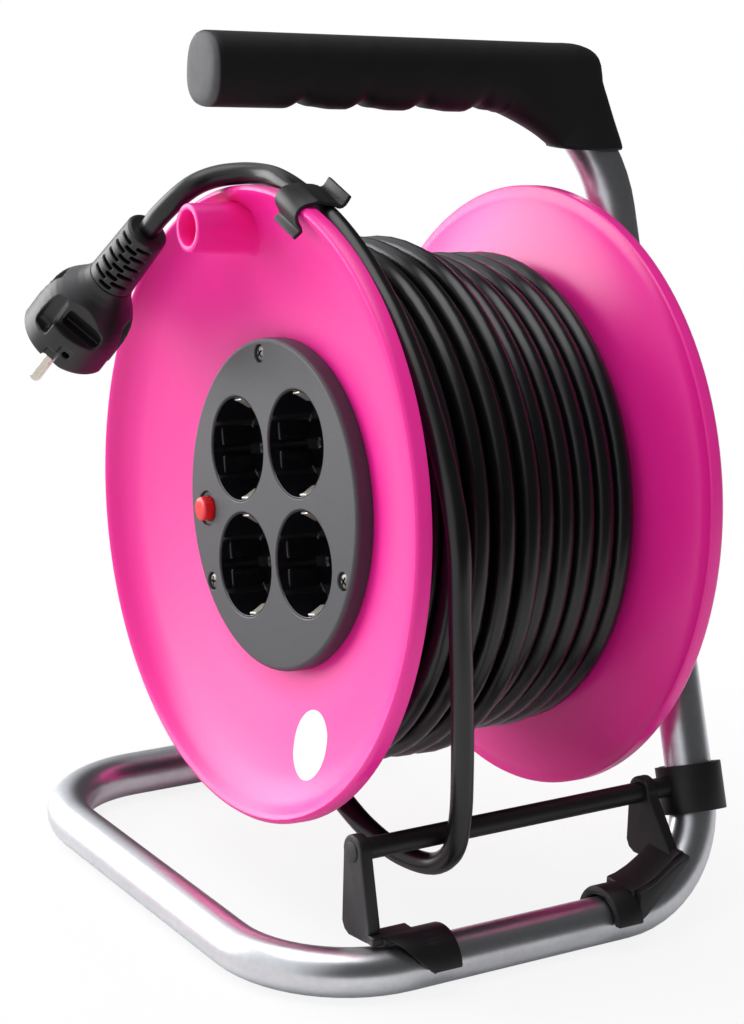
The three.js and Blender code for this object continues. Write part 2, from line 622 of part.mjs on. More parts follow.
const windEnd = winding[winding.length - 1];
const windDirection = windEnd.clone().sub(winding[winding.length - 2]).normalize();
const loopRoute = [
  windEnd.clone().addScaledVector(windDirection, FIT),
  windEnd.clone().addScaledVector(windDirection, 8),
  ...[[44, 22.5, -103], [62, 25, -110.5], [78, 30, -115.5], [92, 35, -115], [102, 36, -107],
    [108, 34, -92], [114, 29, -70], [119, 23, -42], [122, 17.5, -12], [122.6, 14, 16]].map(v3),
  polar(19, 117.5, 14.4), polar(29, 113, 15), polar(39, 110.4, 15.4), polar(49, 109.6, 15.6),
  polar(57, 110, 15.4), polar(64, 111.8, 14.6), polar(70.5, 114.2, 13.3), polar(75.5, 115.9, 12.6),
  polar(79.2, 116.85, 12.2),
];
add(tilted, 'cord_loop', cordSolid(loopRoute, 44), jacket);

const plugStart = new THREE.Vector3(-52.4, -18.4, 97.2);
const plugTip = new THREE.Vector3(-109.4, -33.1, 34.9);
const plugAxis = plugTip.clone().sub(plugStart).normalize();
const tailRoute = [
  polar(79.8, 117, 12.1), polar(83.3, 118.1, 12), polar(90.9, 121.7, 10.4),
  polar(97, 123.6, 9.6), polar(101.6, 124.6, 5.4), polar(105.3, 124.1, -2), polar(108, 121.3, -9),
  plugStart.clone().addScaledVector(plugAxis, -9), plugStart.clone().addScaledVector(plugAxis, -FIT),
];
add(tilted, 'cord_tail', cordSolid(tailRoute, 18), jacket);

// The plug is made along Y from its cord end, then laid along the plug axis.
const PLUG = { relief: 28.6, face: 66.7, radius: 19.1, pinLength: 19, pinRadius: 2.4 };
const CHANNEL = { depth: 12.4, from: 40, to: 58, near: -13.3, far: -6 }; // beside the finger ramp
const RAMP = { from: 37.5, to: 50.6, high: 16.6, low: 10.2, near: -4.2, far: 12.2 };
const STRIP_FLOOR = 13.4; // how far off the plug's axis the earth strips are seated
const pinSide = new THREE.Vector3(0.64, -0.72, -0.27);
pinSide.addScaledVector(plugAxis, -pinSide.dot(plugAxis)).normalize();
const plugPlace = new THREE.Matrix4().makeBasis(
  pinSide, plugAxis, pinSide.clone().cross(plugAxis)).setPosition(plugStart);
const onPlug = (solid) => solid.transform(plugPlace.elements);

// The same cut on both sides of the plug, from a low to a high distance off its axis.
const bothSides = (low, high, shape) => [[low, high], [-high, -low]].map(([a, b]) => shape(a, b));

function plugBody() {
  const { relief, face, radius } = PLUG;
  const beyond = radius + 5;
  const body = turned([[0, relief + FIT], [9.6, relief + FIT], [10.4, relief + 3], [14.8, relief + 10.4],
    [17.3, relief + 14.4], [18.7, relief + 20], [radius, relief + 26], [radius, face - 1],
    [radius - 0.7, face], [0, face]], 28);
  const channel = block(CHANNEL.depth, beyond, CHANNEL.from, CHANNEL.to, CHANNEL.near, CHANNEL.far);
  const slope = [[RAMP.from, RAMP.high], [RAMP.to, RAMP.low], [RAMP.to, beyond], [RAMP.from, beyond]];
  const ramp = plateYZ(slope, -RAMP.far, -RAMP.near).rotate([0, 90, 0]);
  const hollows = [0, 180].map((half) => join(channel, ramp).rotate([0, half, 0]));
  const recesses = bothSides(14.6, beyond, (z0, z1) => block(-4.2, 4.2, face - 26, face + 1, z0, z1));
  const strips = bothSides(STRIP_FLOOR, 20, (z0, z1) => block(-2.9, 2.9, face - 17.3, face + 1, z0, z1));
  const guides = bothSides(16.4, beyond, (x0, x1) => block(x0, x1, face - 6, face + 1, -2.6, 2.6));
  const pins = [-1, 1].map((side) =>
    disc(PLUG.pinRadius + FIT, face - 10.3, face + 1, side * 9.5, 0, 0, 12));
  return onPlug(cut(body, ...hollows, ...recesses, ...strips, ...guides, ...pins));
}
add(tilted, 'plug_body', plugBody(), black);
add(tilted, 'plug_relief', onPlug(turned([[0, 0], [7.6, 0], [8.4, 1], [9.4, PLUG.relief],
  [0, PLUG.relief]], 16)), rubber);
[-1, 1].forEach((side, i) => {
  const pinSolid = disc(PLUG.pinRadius, PLUG.face - 10, PLUG.face + PLUG.pinLength, side * 9.5, 0, 0, 12);
  const seat = STRIP_FLOOR + FIT;
  const [low, high] = side > 0 ? [seat, seat + 0.8] : [-seat - 0.8, -seat];
  const strip = block(-2.5, 2.5, PLUG.face - 17, PLUG.face - 0.4, low, high);
  add(tilted, `plug_pin_${i + 1}`, onPlug(pinSolid), nickel);
  add(tilted, `plug_earth_strip_${i + 1}`, onPlug(strip), nickel);
});

// ---- origin: the floor under the middle of the reel without its free cord ----
const freeCord = /^(cord_loop|cord_tail|plug_)/;
const bounds = new THREE.Box3();
model.traverse((piece) => {
  if (piece.isMesh && !freeCord.test(piece.name)) bounds.expandByObject(piece, true);
});
const middle = bounds.getCenter(new THREE.Vector3());
model.position.set(-middle.x, -middle.y, -bounds.min.z);

export default model;
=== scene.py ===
import json
import math
import bpy
from mathutils import Matrix, Vector


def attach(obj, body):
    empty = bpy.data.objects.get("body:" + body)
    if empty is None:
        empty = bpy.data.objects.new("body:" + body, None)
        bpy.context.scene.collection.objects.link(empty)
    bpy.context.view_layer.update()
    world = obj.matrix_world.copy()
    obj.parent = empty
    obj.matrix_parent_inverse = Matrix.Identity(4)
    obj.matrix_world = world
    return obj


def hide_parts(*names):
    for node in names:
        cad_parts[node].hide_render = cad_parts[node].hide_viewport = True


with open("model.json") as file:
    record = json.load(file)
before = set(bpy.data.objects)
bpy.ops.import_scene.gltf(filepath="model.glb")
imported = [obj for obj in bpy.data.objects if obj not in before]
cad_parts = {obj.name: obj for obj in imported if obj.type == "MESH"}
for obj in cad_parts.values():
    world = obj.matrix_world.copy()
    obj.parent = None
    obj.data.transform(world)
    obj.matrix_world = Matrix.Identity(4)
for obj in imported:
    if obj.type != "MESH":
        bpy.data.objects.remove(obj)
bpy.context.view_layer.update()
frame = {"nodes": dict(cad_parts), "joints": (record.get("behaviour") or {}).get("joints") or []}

# ---- places shared with the solids, in millimetres ----
MM = 0.001
LEAN_BACK = math.radians(2.4)
SPIN = math.radians(14.4)
SPINDLE = Vector(next(j for j in frame["joints"] if j["name"] == "drum_spin")["pos_m"])
STAND = Matrix.Translation((SPINDLE.x, SPINDLE.y, 0)) @ Matrix.Scale(MM, 4)
TILTED = (Matrix.Translation(SPINDLE) @ Matrix.Scale(MM, 4)
          @ Matrix.Rotation(-LEAN_BACK, 4, "X"))
DRUM = TILTED @ Matrix.Rotation(-SPIN, 4, "Y")

TUBE_RADIUS, TUBE_WALL = 9.0, 1.5
BASE_LEFT, BASE_RIGHT, BASE_FRONT, BASE_LEFT_END, BASE_BEND = -110, 110, -38, 118, 46
UPRIGHT_PLANE, UPRIGHT_X, UPRIGHT_SLOPE = 151.6, 56, 0.3866
GRIP_Z, GRIP_FRONT, GRIP_TOP, GRIP_UNDER, GRIP_HALF = 161.5, -24, 175, 148, 12
RIM_RADIUS, RIM_REAR = 120, 133.5
COVER_RADIUS, COVER_FRONT, COVER_REAR = 63.3, 10.9, 17.7
WELL_OFFSET, WELL_RADIUS, WELL_OUTER, WELL_FLOOR, WELL_BACK = 22.4, 19.75, 21.2, 28.4, 31.4
BUTTON_X, SCREW_RING, PIN_OFFSET = -50.2, 57.6, 9.5
CORD_RADIUS = 4.15
ROD_X, ROD_Z = 94, 50
FIT = 0.3
HALF_TURN = Matrix.Rotation(math.pi, 4, "Y")


def upright_x(z):
    return UPRIGHT_X - UPRIGHT_SLOPE * z


def on_ring(degrees, radius, y=0.0):
    angle = math.radians(degrees)
    return Vector((radius * math.cos(angle), y, radius * math.sin(angle)))


def ease(value, low, high):
    t = min(1.0, max(0.0, (value - low) / (high - low)))
    return t * t * (3 - 2 * t)


# ---- hand tools: what is drawn, turned, sawn, rounded and cut ----
def nothing_picked():
    if bpy.context.mode != "OBJECT":
        bpy.ops.object.mode_set(mode="OBJECT")
    bpy.ops.object.select_all(action="DESELECT")


def only(piece):
    """Makes piece the one that is picked, and leaves edit mode."""
    nothing_picked()
    bpy.context.view_layer.objects.active = piece
    piece.select_set(True)
    return piece


def edited(piece, everything=False):
    """Opens piece in edit mode with nothing, or everything, picked in it."""
    only(piece)
    bpy.ops.object.mode_set(mode="EDIT")
    bpy.ops.mesh.select_mode(type="VERT")
    bpy.ops.mesh.select_all(action="SELECT" if everything else "DESELECT")
    return piece


def welded(piece):
    """Merges doubles, drops what has no area and turns every face outward."""
    edited(piece, everything=True)
    bpy.ops.mesh.remove_doubles(threshold=1e-3)
    bpy.ops.mesh.dissolve_degenerate(threshold=1e-4)
    bpy.ops.mesh.select_all(action="SELECT")
    bpy.ops.mesh.normals_make_consistent(inside=False)
    bpy.ops.object.mode_set(mode="OBJECT")
    return piece


def drawn(name, points, closed=False):
    """A line drawn from corner to corner, out of one corner of a plane."""
    nothing_picked()
    bpy.ops.mesh.primitive_plane_add(size=1, location=(0, 0, 0))
    piece = bpy.context.object
    piece.name = piece.data.name = name
    edited(piece, everything=True)
    bpy.ops.mesh.merge(type="CENTER")
    bpy.ops.transform.translate(value=points[0])
    for a, b in zip(points, [*points[1:], *points[:closed]]):
        step = Vector(b) - Vector(a)
        bpy.ops.mesh.extrude_vertices_move(TRANSFORM_OT_translate={"value": step})
    bpy.ops.mesh.select_all(action="SELECT")
    if closed:
        bpy.ops.mesh.remove_doubles(threshold=1e-3)
    return piece


def turned(name, profile, steps=96, sheet=False):
    """A shape turned about the Y axis from (radius, y) corners; a bored one closes on itself."""
    bored = profile[0][0] > 0 or profile[-1][0] > 0
    piece = drawn(name, [(r, y, 0) for r, y in profile], closed=bored and not sheet)
    bpy.ops.mesh.spin(steps=steps, angle=2 * math.pi, center=(0, 0, 0), axis=(0, 1, 0),
                      use_auto_merge=True)
    return welded(piece)


def sawn(name, outline, start, stop, axis="Y"):
    """An outline with thickness along Y, from (x, z) corners, or along X, from (y, z) corners."""
    along_y = axis == "Y"
    points = [(a, start, b) if along_y else (start, a, b) for a, b in outline]
    piece = drawn(name, points, closed=True)
    bpy.ops.mesh.edge_face_add()
    depth = (0, stop - start, 0) if along_y else (stop - start, 0, 0)
    bpy.ops.mesh.extrude_region_move(TRANSFORM_OT_translate={"value": depth})
    return welded(piece)


def brick(name, x0, x1, y0, y1, z0, z1, rounding=0.0, segments=3):
    """A rectangular block, with all its edges rounded."""
    piece = sawn(name, [(x0, z0), (x1, z0), (x1, z1), (x0, z1)], y0, y1)
    return rounded(piece, rounding, segments) if rounding else piece


def applied(piece, kind, **settings):
    """Adds a modifier and applies it."""
    only(piece)
    modifier = piece.modifiers.new(kind.lower(), kind)
    for name, value in settings.items():
        setattr(modifier, name, value)
    bpy.ops.object.modifier_apply(modifier=modifier.name)
    return piece


def rounded(piece, width, segments=3, angle=30):
    """Rounds the edges that are sharper than angle."""
    return applied(piece, "BEVEL", width=width, segments=segments, limit_method="ANGLE",
                   angle_limit=math.radians(angle), use_clamp_overlap=True)


def combined(piece, others, operation):
    for other in others:
        applied(piece, "BOOLEAN", object=other, operation=operation, solver="EXACT")
        bpy.data.objects.remove(other)
    return piece


def carved(piece, *tools):
    return combined(piece, tools, "DIFFERENCE")


def fused(piece, *others):
    return combined(piece, others, "UNION")


def heaped(piece, *others):
    """Joins pieces that only touch into one mesh."""
    only(piece)
    for other in others:
        other.select_set(True)
    bpy.ops.object.join()
    return piece


def shifted(piece, place):
    """Moves the mesh itself by a matrix or by a step along X, Y and Z."""
    matrix = place if isinstance(place, Matrix) else Matrix.Translation(place)
    piece.data.transform(matrix)
    return piece


def copied(piece, name):
    twin = piece.copy()
    twin.data = piece.data.copy()
    twin.name = twin.data.name = name
    bpy.context.scene.collection.objects.link(twin)
    return twin


def peg(name, radius, y0, y1, x=0.0, z=0.0, steps=24, edge=0.0):
    """A round pin along Y, with a small rounding at both ends."""
    piece = turned(name, [(0, y0), (radius, y0), (radius, y1), (0, y1)], steps)
    if edge:
        rounded(piece, edge, 2, 60)
    return shifted(piece, (x, 0, z))


def laid(piece, place, body, finish, replaces=(), smooth=30):
    """Puts a finished piece in the row frame, on its body and in its finish."""
    only(piece)
    shifted(piece, place)
    if piece.type == "MESH":
        bpy.ops.object.shade_smooth_by_angle(angle=math.radians(smooth))
    piece.data.materials.clear()
    piece.data.materials.append(finish)
    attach(piece, body)
    if replaces:
        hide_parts(*replaces)
    return piece


def laid_in_turn(master, places, solid, finish, smooth):
    """Lays the master, whose name ends in 1, in the first place, and a copy in each of the others."""
    pieces = []
    for number, place in enumerate(places, 1):
        piece = copied(master, f"{master.name[:-1]}{number}") if number > 1 else master
        pieces.append((piece, place, number))
    return [laid(piece, place, "drum", finish, [f"{solid}_{number}"], smooth)
            for piece, place, number in pieces]


# ---- the camera, as the photograph was taken ----
CAMERA_AZIMUTH, CAMERA_ELEVATION, CAMERA_ROLL = (math.radians(a) for a in (57.69, 16.30, 1.79))
CAMERA_TARGET = SPINDLE + Vector((-3.08, 60.0, -40.24)) * MM
CAMERA_DISTANCE = 0.9904
FOCAL_PIXELS, PICTURE_HEIGHT, AXIS_BELOW_MIDDLE = 2511.2, 1024, 76.2
SENSOR = 36.0


def add_camera():
    a, e, roll = CAMERA_AZIMUTH, CAMERA_ELEVATION, CAMERA_ROLL
    right = Vector((math.cos(a), math.sin(a), 0))
    back = Vector((math.sin(a) * math.cos(e), -math.cos(a) * math.cos(e), math.sin(e)))
    up = back.cross(right)
    side = right * math.cos(roll) + up * math.sin(roll)
    top = up * math.cos(roll) - right * math.sin(roll)
    camera = bpy.data.objects.new("camera", bpy.data.cameras.new("camera"))
    bpy.context.scene.collection.objects.link(camera)
    camera.matrix_world = (Matrix.Translation(CAMERA_TARGET + back * CAMERA_DISTANCE)
                           @ Matrix((side, top, back)).transposed().to_4x4())
    camera.data.sensor_width = SENSOR
    camera.data.lens = FOCAL_PIXELS * SENSOR / PICTURE_HEIGHT
    camera.data.shift_y = AXIS_BELOW_MIDDLE / PICTURE_HEIGHT
    camera.data.clip_start, camera.data.clip_end = 0.05, 50
    bpy.context.scene.camera = camera


add_camera()


# ---- finishes ----
class Value:
    """A number that changes over a surface; an expression on values adds its Math nodes."""

    def __init__(self, finish, socket):
        self.finish, self.socket = finish, socket

    def math(self, operation, first, second=None):
        inputs = [v.socket if isinstance(v, Value) else v for v in (first, second) if v is not None]
        node = self.finish.node("ShaderNodeMath", {"operation": operation}, dict(enumerate(inputs)))
        return Value(self.finish, node.outputs[0])

    def __add__(self, other):
        return self.math("ADD", self, other)

    def __sub__(self, other):
        return self.math("SUBTRACT", self, other)

    def __rsub__(self, other):
        return self.math("SUBTRACT", other, self)

    def __mul__(self, other):
        return self.math("MULTIPLY", self, other)

    def over(self, edge, width):
        """0 below edge and 1 above it, with a soft step of that width."""
        node = self.finish.node("ShaderNodeMapRange", {"interpolation_type": "SMOOTHSTEP"},
                                {0: self.socket, 1: edge - width / 2, 2: edge + width / 2})
        return Value(self.finish, node.outputs[0])

    __radd__, __rmul__ = __add__, __mul__


class Nodes:
    """The nodes of a material or of the world."""

    def __init__(self, owner):
        owner.use_nodes = True
        self.nodes, self.links = owner.node_tree.nodes, owner.node_tree.links

    def feed(self, socket, value):
        value = value.socket if isinstance(value, Value) else value
        if isinstance(value, bpy.types.NodeSocket):
            self.links.new(value, socket)
        else:
            socket.default_value = value

    def node(self, kind, settings=None, inputs=None):
        node = self.nodes.new(kind)
        for name, value in (settings or {}).items():
            setattr(node, name, value)
        for name, value in (inputs or {}).items():
            self.feed(node.inputs[name], value)
        return node


class Finish(Nodes):
    """A material whose fixed numbers are set on the shader itself."""

    def __init__(self, name, color, roughness, **fixed):
        self.material = bpy.data.materials.new(name)
        super().__init__(self.material)
        self.material.diffuse_color = (*color, 1)
        self.shader = self.nodes["Principled BSDF"]
        self.color = color
        self.set(Base_Color=(*color, 1), Roughness=roughness, **fixed)
        self.place = self.node("ShaderNodeTexCoord").outputs["Object"]

    def set(self, **sockets):
        for name, value in sockets.items():
            self.feed(self.shader.inputs[name.replace("_", " ")], value)

    def noise(self, size_mm, detail=3.0, roughness=0.5, stretch=None):
        """Cloudy noise from 0 to 1 whose patches are about size_mm across."""
        place = self.place
        if stretch:
            place = self.node("ShaderNodeMapping", None, {"Vector": place, "Scale": stretch}).outputs[0]
        node = self.node("ShaderNodeTexNoise", None, {
            "Vector": place, "Scale": 1 / (size_mm * MM), "Detail": detail, "Roughness": roughness})
        return Value(self, node.outputs["Fac"])

    def cells(self, size_mm):
        """The distance to the middle of the nearest of many cells, each about size_mm across."""
        node = self.node("ShaderNodeTexVoronoi", None,
                         {"Vector": self.place, "Scale": 1 / (size_mm * MM)})
        return Value(self, node.outputs["Distance"])

    def axis(self, name):
        split = self.node("ShaderNodeSeparateXYZ", None, {0: self.place})
        return Value(self, split.outputs[name])

    def mixed(self, amount, first, second):
        """Colour first where amount is 0 and second where it is 1."""
        inputs = {0: amount, 6: (*first, 1) if isinstance(first, tuple) else first,
                  7: (*second, 1) if isinstance(second, tuple) else second}
        return self.node("ShaderNodeMix", {"data_type": "RGBA"}, inputs).outputs[2]

    def bump(self, height, strength, depth_mm):
        node = self.node("ShaderNodeBump", None, {
            "Height": height, "Strength": strength, "Distance": depth_mm * MM})
        self.set(Normal=node.outputs[0])


def scratches(finish, size_mm, share):
    """Thin, short, stray lines: where two stretched noises both cross their middle."""
    long_way = finish.noise(size_mm, 1.0, 0.4, (1.0, 1.0, 9.0))
    other_way = finish.noise(size_mm, 1.0, 0.4, (8.0, 1.0, 1.6))
    line = 1 - (long_way - 0.5).math("ABSOLUTE", long_way - 0.5) * 60
    patch = other_way.over(1 - share, 0.06)
    return line.math("MAXIMUM", line, 0.0) * patch


def tinted(color, factor):
    return tuple(min(1.0, c * factor) for c in color)


def pink_plastic():
    f = Finish("pink_moulded_plastic", (1.0, 0.014, 0.335), 0.33, Specular_IOR_Level=0.5)
    cloud = f.noise(60, 2.0)
    fine = f.noise(0.9, 4.0)
    f.set(Base_Color=f.mixed(cloud, tinted(f.color, 0.94), (1.0, 0.024, 0.37)),
          Roughness=0.27 + cloud * 0.08 + fine * 0.06 + scratches(f, 14, 0.4) * 0.15)
    f.bump(fine * 0.6 + f.noise(7, 2.0) * 1.2, 0.25, 0.06)
    return f.material


def grey_plastic():
    f = Finish("grey_socket_cover_plastic", (0.045, 0.045, 0.051), 0.42, Specular_IOR_Level=0.4)
    cloud, grain = f.noise(26, 3.0), f.noise(0.35, 3.0, 0.6)
    marks = scratches(f, 9, 0.45)
    worn = f.mixed(marks, f.color, tinted(f.color, 1.7))
    f.set(Base_Color=f.mixed(cloud * 0.5, worn, tinted(f.color, 1.28)),
          Roughness=0.36 + cloud * 0.12 + grain * 0.08)
    f.bump(grain, 0.22, 0.05)
    return f.material


def black_gloss():
    f = Finish("black_gloss_socket_plastic", (0.0045, 0.0045, 0.006), 0.09)
    dust = f.noise(0.5, 2.0).over(0.72, 0.06)
    f.set(Base_Color=f.mixed(dust * 0.35, f.color, (0.03, 0.03, 0.034)),
          Roughness=0.07 + f.noise(9, 2.0) * 0.07 + dust * 0.2)
    f.bump(f.noise(5, 2.0), 0.12, 0.05)
    return f.material


def black_nylon(name="black_nylon", color=(0.005, 0.0046, 0.0054), gloss=0.45):
    f = Finish(name, color, gloss)
    cloud, grain = f.noise(12, 3.0), f.noise(0.28, 3.0, 0.6)
    f.set(Base_Color=f.mixed(cloud, tinted(color, 0.75), tinted(color, 1.35)),
          Roughness=gloss - 0.05 + cloud * 0.1 + grain * 0.08)
    f.bump(grain + cloud * 0.4, 0.3, 0.06)
    return f.material


def grip_rubber():
    f = Finish("matt_black_grip_rubber", (0.0048, 0.0046, 0.005), 0.62, Specular_IOR_Level=0.35)
    cloud, grain = f.noise(18, 3.0), f.noise(0.5, 4.0, 0.65)
    # The front end face, 1.6 mm deep, is painted a lighter, mottled grey: painted light, where the front
    # lamp falls on that face.
    front = (TILTED @ Vector((0, GRIP_FRONT + 1.6, GRIP_Z))).y
    end = 1 - f.axis("Y").over(front, 0.0012)
    painted_lit_end = f.mixed(f.noise(5, 4.0), (0.060, 0.060, 0.066), (0.115, 0.114, 0.122))
    body = f.mixed(cloud, tinted(f.color, 0.8), tinted(f.color, 1.4))
    f.set(Base_Color=f.mixed(end, body, painted_lit_end), Roughness=0.56 + cloud * 0.1 + grain * 0.08)
    f.bump(grain, 0.4, 0.1)
    return f.material


def cord_jacket():
    f = Finish("black_pvc_cord_jacket", (0.0036, 0.0034, 0.004), 0.32, Specular_IOR_Level=0.5)
    cloud, grain = f.noise(22, 3.0), f.noise(0.7, 3.0, 0.6)
    f.set(Base_Color=f.mixed(cloud, tinted(f.color, 0.7), tinted(f.color, 1.4)),
          Roughness=0.23 + cloud * 0.08 + grain * 0.06)
    f.bump(grain * 0.5 + f.noise(3.5, 2.0), 0.15, 0.08)
    return f.material


def zinc_steel(name="zinc_plated_tube", tone=(0.67, 0.68, 0.70), gloss=0.25):
    f = Finish(name, tone, gloss, Metallic=1.0)
    cloud, spangle, streak = f.noise(16, 4.0), f.cells(2.6), f.noise(2.2, 3.0, 0.6)
    dull = f.noise(34, 3.0, 0.6)
    base = f.mixed(cloud * 0.8, tinted(tone, 1.12), tinted(tone, 0.76))
    f.set(Base_Color=f.mixed(spangle * streak * 0.5, base, tinted(tone, 0.7)),
          Roughness=gloss - 0.05 + cloud * 0.08 + dull * 0.1 + streak * 0.05)
    f.bump(streak * 0.7 + cloud, 0.2, 0.05)
    return f.material


def bright_metal(name, tone, gloss):
    f = Finish(name, tone, gloss, Metallic=1.0)
    cloud, grain = f.noise(2.2, 3.0), f.noise(0.3, 3.0)
    f.set(Base_Color=f.mixed(cloud, tone, tinted(tone, 0.78)),
          Roughness=gloss + cloud * 0.1 + grain * 0.06)
    f.bump(grain, 0.15, 0.03)
    return f.material


def red_plastic():
    f = Finish("red_button_plastic", (0.78, 0.006, 0.012), 0.26)
    cloud = f.noise(3, 3.0)
    f.set(Base_Color=f.mixed(cloud, (0.70, 0.005, 0.010), (0.86, 0.012, 0.018)),
          Roughness=0.22 + cloud * 0.1)
    f.bump(f.noise(0.4, 3.0), 0.15, 0.04)
    return f.material


def natural_plastic():
    f = Finish("natural_nylon", (0.78, 0.74, 0.64), 0.45)
    cloud = f.noise(6, 3.0)
    f.set(Base_Color=f.mixed(cloud, (0.80, 0.77, 0.68), (0.70, 0.65, 0.54)),
          Roughness=0.4 + cloud * 0.12)
    f.bump(f.noise(0.4, 3.0), 0.15, 0.04)
    return f.material


def white_paper():
    f = Finish("white_sticker_paper", (0.84, 0.84, 0.83), 0.5)
    cloud, grain = f.noise(4, 4.0), f.noise(0.25, 3.0)
    f.set(Base_Color=f.mixed(cloud, (0.88, 0.88, 0.87), (0.79, 0.79, 0.785)),
          Roughness=0.46 + grain * 0.12)
    f.bump(grain, 0.2, 0.03)
    return f.material


PINK, GREY, GLOSS = pink_plastic(), grey_plastic(), black_gloss()
NYLON, RUBBER, JACKET = black_nylon(), grip_rubber(), cord_jacket()
PLUG_PVC = black_nylon("black_plug_pvc", (0.007, 0.007, 0.008), 0.38)
ZINC, SCREW_STEEL = zinc_steel(), zinc_steel("zinc_plated_fasteners", (0.52, 0.53, 0.55), 0.3)
DARK_SCREW = zinc_steel("dark_cover_screws", (0.16, 0.155, 0.15), 0.3)
NICKEL = bright_metal("nickel_contacts", (0.66, 0.61, 0.53), 0.16)
CLIP_NICKEL = bright_metal("satin_nickel_clips", (0.84, 0.80, 0.70), 0.36)
BRASS = bright_metal("brass_bars", (0.80, 0.58, 0.28), 0.25)
RED, NATURAL, PAPER = red_plastic(), natural_plastic(), white_paper()


# ---- cords ----
def smooth_route(points, per_span=5):
    """A centripetal Catmull-Rom line through the route's points, as the solids follow."""
    points = [Vector(p) for p in points]
    ends = [points[0] * 2 - points[1], *points, points[-1] * 2 - points[-2]]
    line = []
    for p0, p1, p2, p3 in zip(ends, ends[1:], ends[2:], ends[3:]):
        d0, d1, d2 = (max((b - a).length ** 0.5, 1e-4) for a, b in ((p0, p1), (p1, p2), (p2, p3)))
        leave = ((p1 - p0) / d0 - (p2 - p0) / (d0 + d1) + (p2 - p1) / d1) * d1
        arrive = ((p2 - p1) / d1 - (p3 - p1) / (d1 + d2) + (p3 - p2) / d2) * d1
        for i in range(per_span):
            t = i / per_span
            line.append(p1 + leave * t + (3 * (p2 - p1) - 2 * leave - arrive) * t ** 2
                        + (2 * (p1 - p2) + leave + arrive) * t ** 3)
    return [*line, points[-1]]


def cord_through(name, line, place, sides):
    """A round cord along a line of points, as a curve with its ends closed."""
    curve = bpy.data.curves.new(name, "CURVE")
    curve.dimensions = "3D"
    spline = curve.splines.new("POLY")
    spline.points.add(len(line) - 1)
    for point, at in zip(spline.points, line):
        point.co = (*(place @ at), 1)
    curve.bevel_depth = CORD_RADIUS * MM
    curve.bevel_resolution = sides // 2 - 2
    curve.use_fill_caps = True
    piece = bpy.data.objects.new(name, curve)
    bpy.context.scene.collection.objects.link(piece)
    piece.data.materials.append(JACKET)
    return piece


def cord_length(line):
    return sum((b - a).length for a, b in zip(line, line[1:])) * MM


# The winding, from the gland out: four layers, each laid back over the last, then the visible one,
# which is laid close and low at the rear, and wider and higher in front.
WIND_REAR, WIND_FRONT, WIND_MID = 110.2, 21.6, 70.0
WIND_REAR_RADIUS, WIND_FRONT_RADIUS = 90.2, 96.8
OUTER_TURNS, WIND_END = 8.8, math.radians(-87)
STEPS_PER_TURN = 64


def outer_turn(t):
    """Radius and y of the outer layer, t turns after its start at the rear."""
    half = OUTER_TURNS / 2
    reach = WIND_REAR - WIND_MID if t < half else WIND_MID - WIND_FRONT
    y = WIND_MID - (t - half) / half * reach
    climb = ease(t - half, -0.4, 0.3)
    settled = ease(t, 0.2, 1.2) * ease(OUTER_TURNS - t, 0.2, 1.5)
    wobble = 0.28 * math.sin(t * 2.1 * math.pi + 0.6) * settled
    return WIND_REAR_RADIUS + climb * (WIND_FRONT_RADIUS - WIND_REAR_RADIUS), y + wobble


INNER_LAYERS = [  # turns, y at the start and end, radius at the rear and in front
    (7.27, 44.0, 108.5, 65.9, 65.9),
    (10.0, 109.6, 22.8, 74.1, 76.4),
    (10.4, 20.9, 111.6, 82.1, 87.6),
]


def winding_line():
    line, turn, total = [], 0.0, sum(layer[0] for layer in INNER_LAYERS) + 0.5 * 3 + OUTER_TURNS
    marks = []
    for turns, y0, y1, rear, front in INNER_LAYERS:
        for i in range(round(turns * STEPS_PER_TURN) + 1):
            share = i / round(turns * STEPS_PER_TURN)
            y = y0 + (y1 - y0) * share
            marks.append((turn + turns * share, front + (rear - front) * ease(y, 60, 73), y))
        turn += turns + 0.5
    for i in range(round(OUTER_TURNS * STEPS_PER_TURN) + 1):
        share = i / round(OUTER_TURNS * STEPS_PER_TURN)
        marks.append((turn + OUTER_TURNS * share, *outer_turn(OUTER_TURNS * share)))
    for (t0, r0, y0), (t1, r1, y1) in zip(marks, marks[1:]):
        steps = max(1, round((t1 - t0) * STEPS_PER_TURN))
        for i in range(steps):
            share = i / steps
            mixed = ease(share, 0, 1)
            line.append((t0 + (t1 - t0) * share, r0 + (r1 - r0) * mixed, y0 + (y1 - y0) * mixed))
    line.append(marks[-1])
    return [on_ring(math.degrees(WIND_END) - (total - t) * 360, r, y) for t, r, y in line]


winding = winding_line()
wind_end = winding[-1]
wind_direction = Vector((-math.sin(WIND_END), 0, math.cos(WIND_END)))
winding.append(wind_end + wind_direction * 2 * CORD_RADIUS)

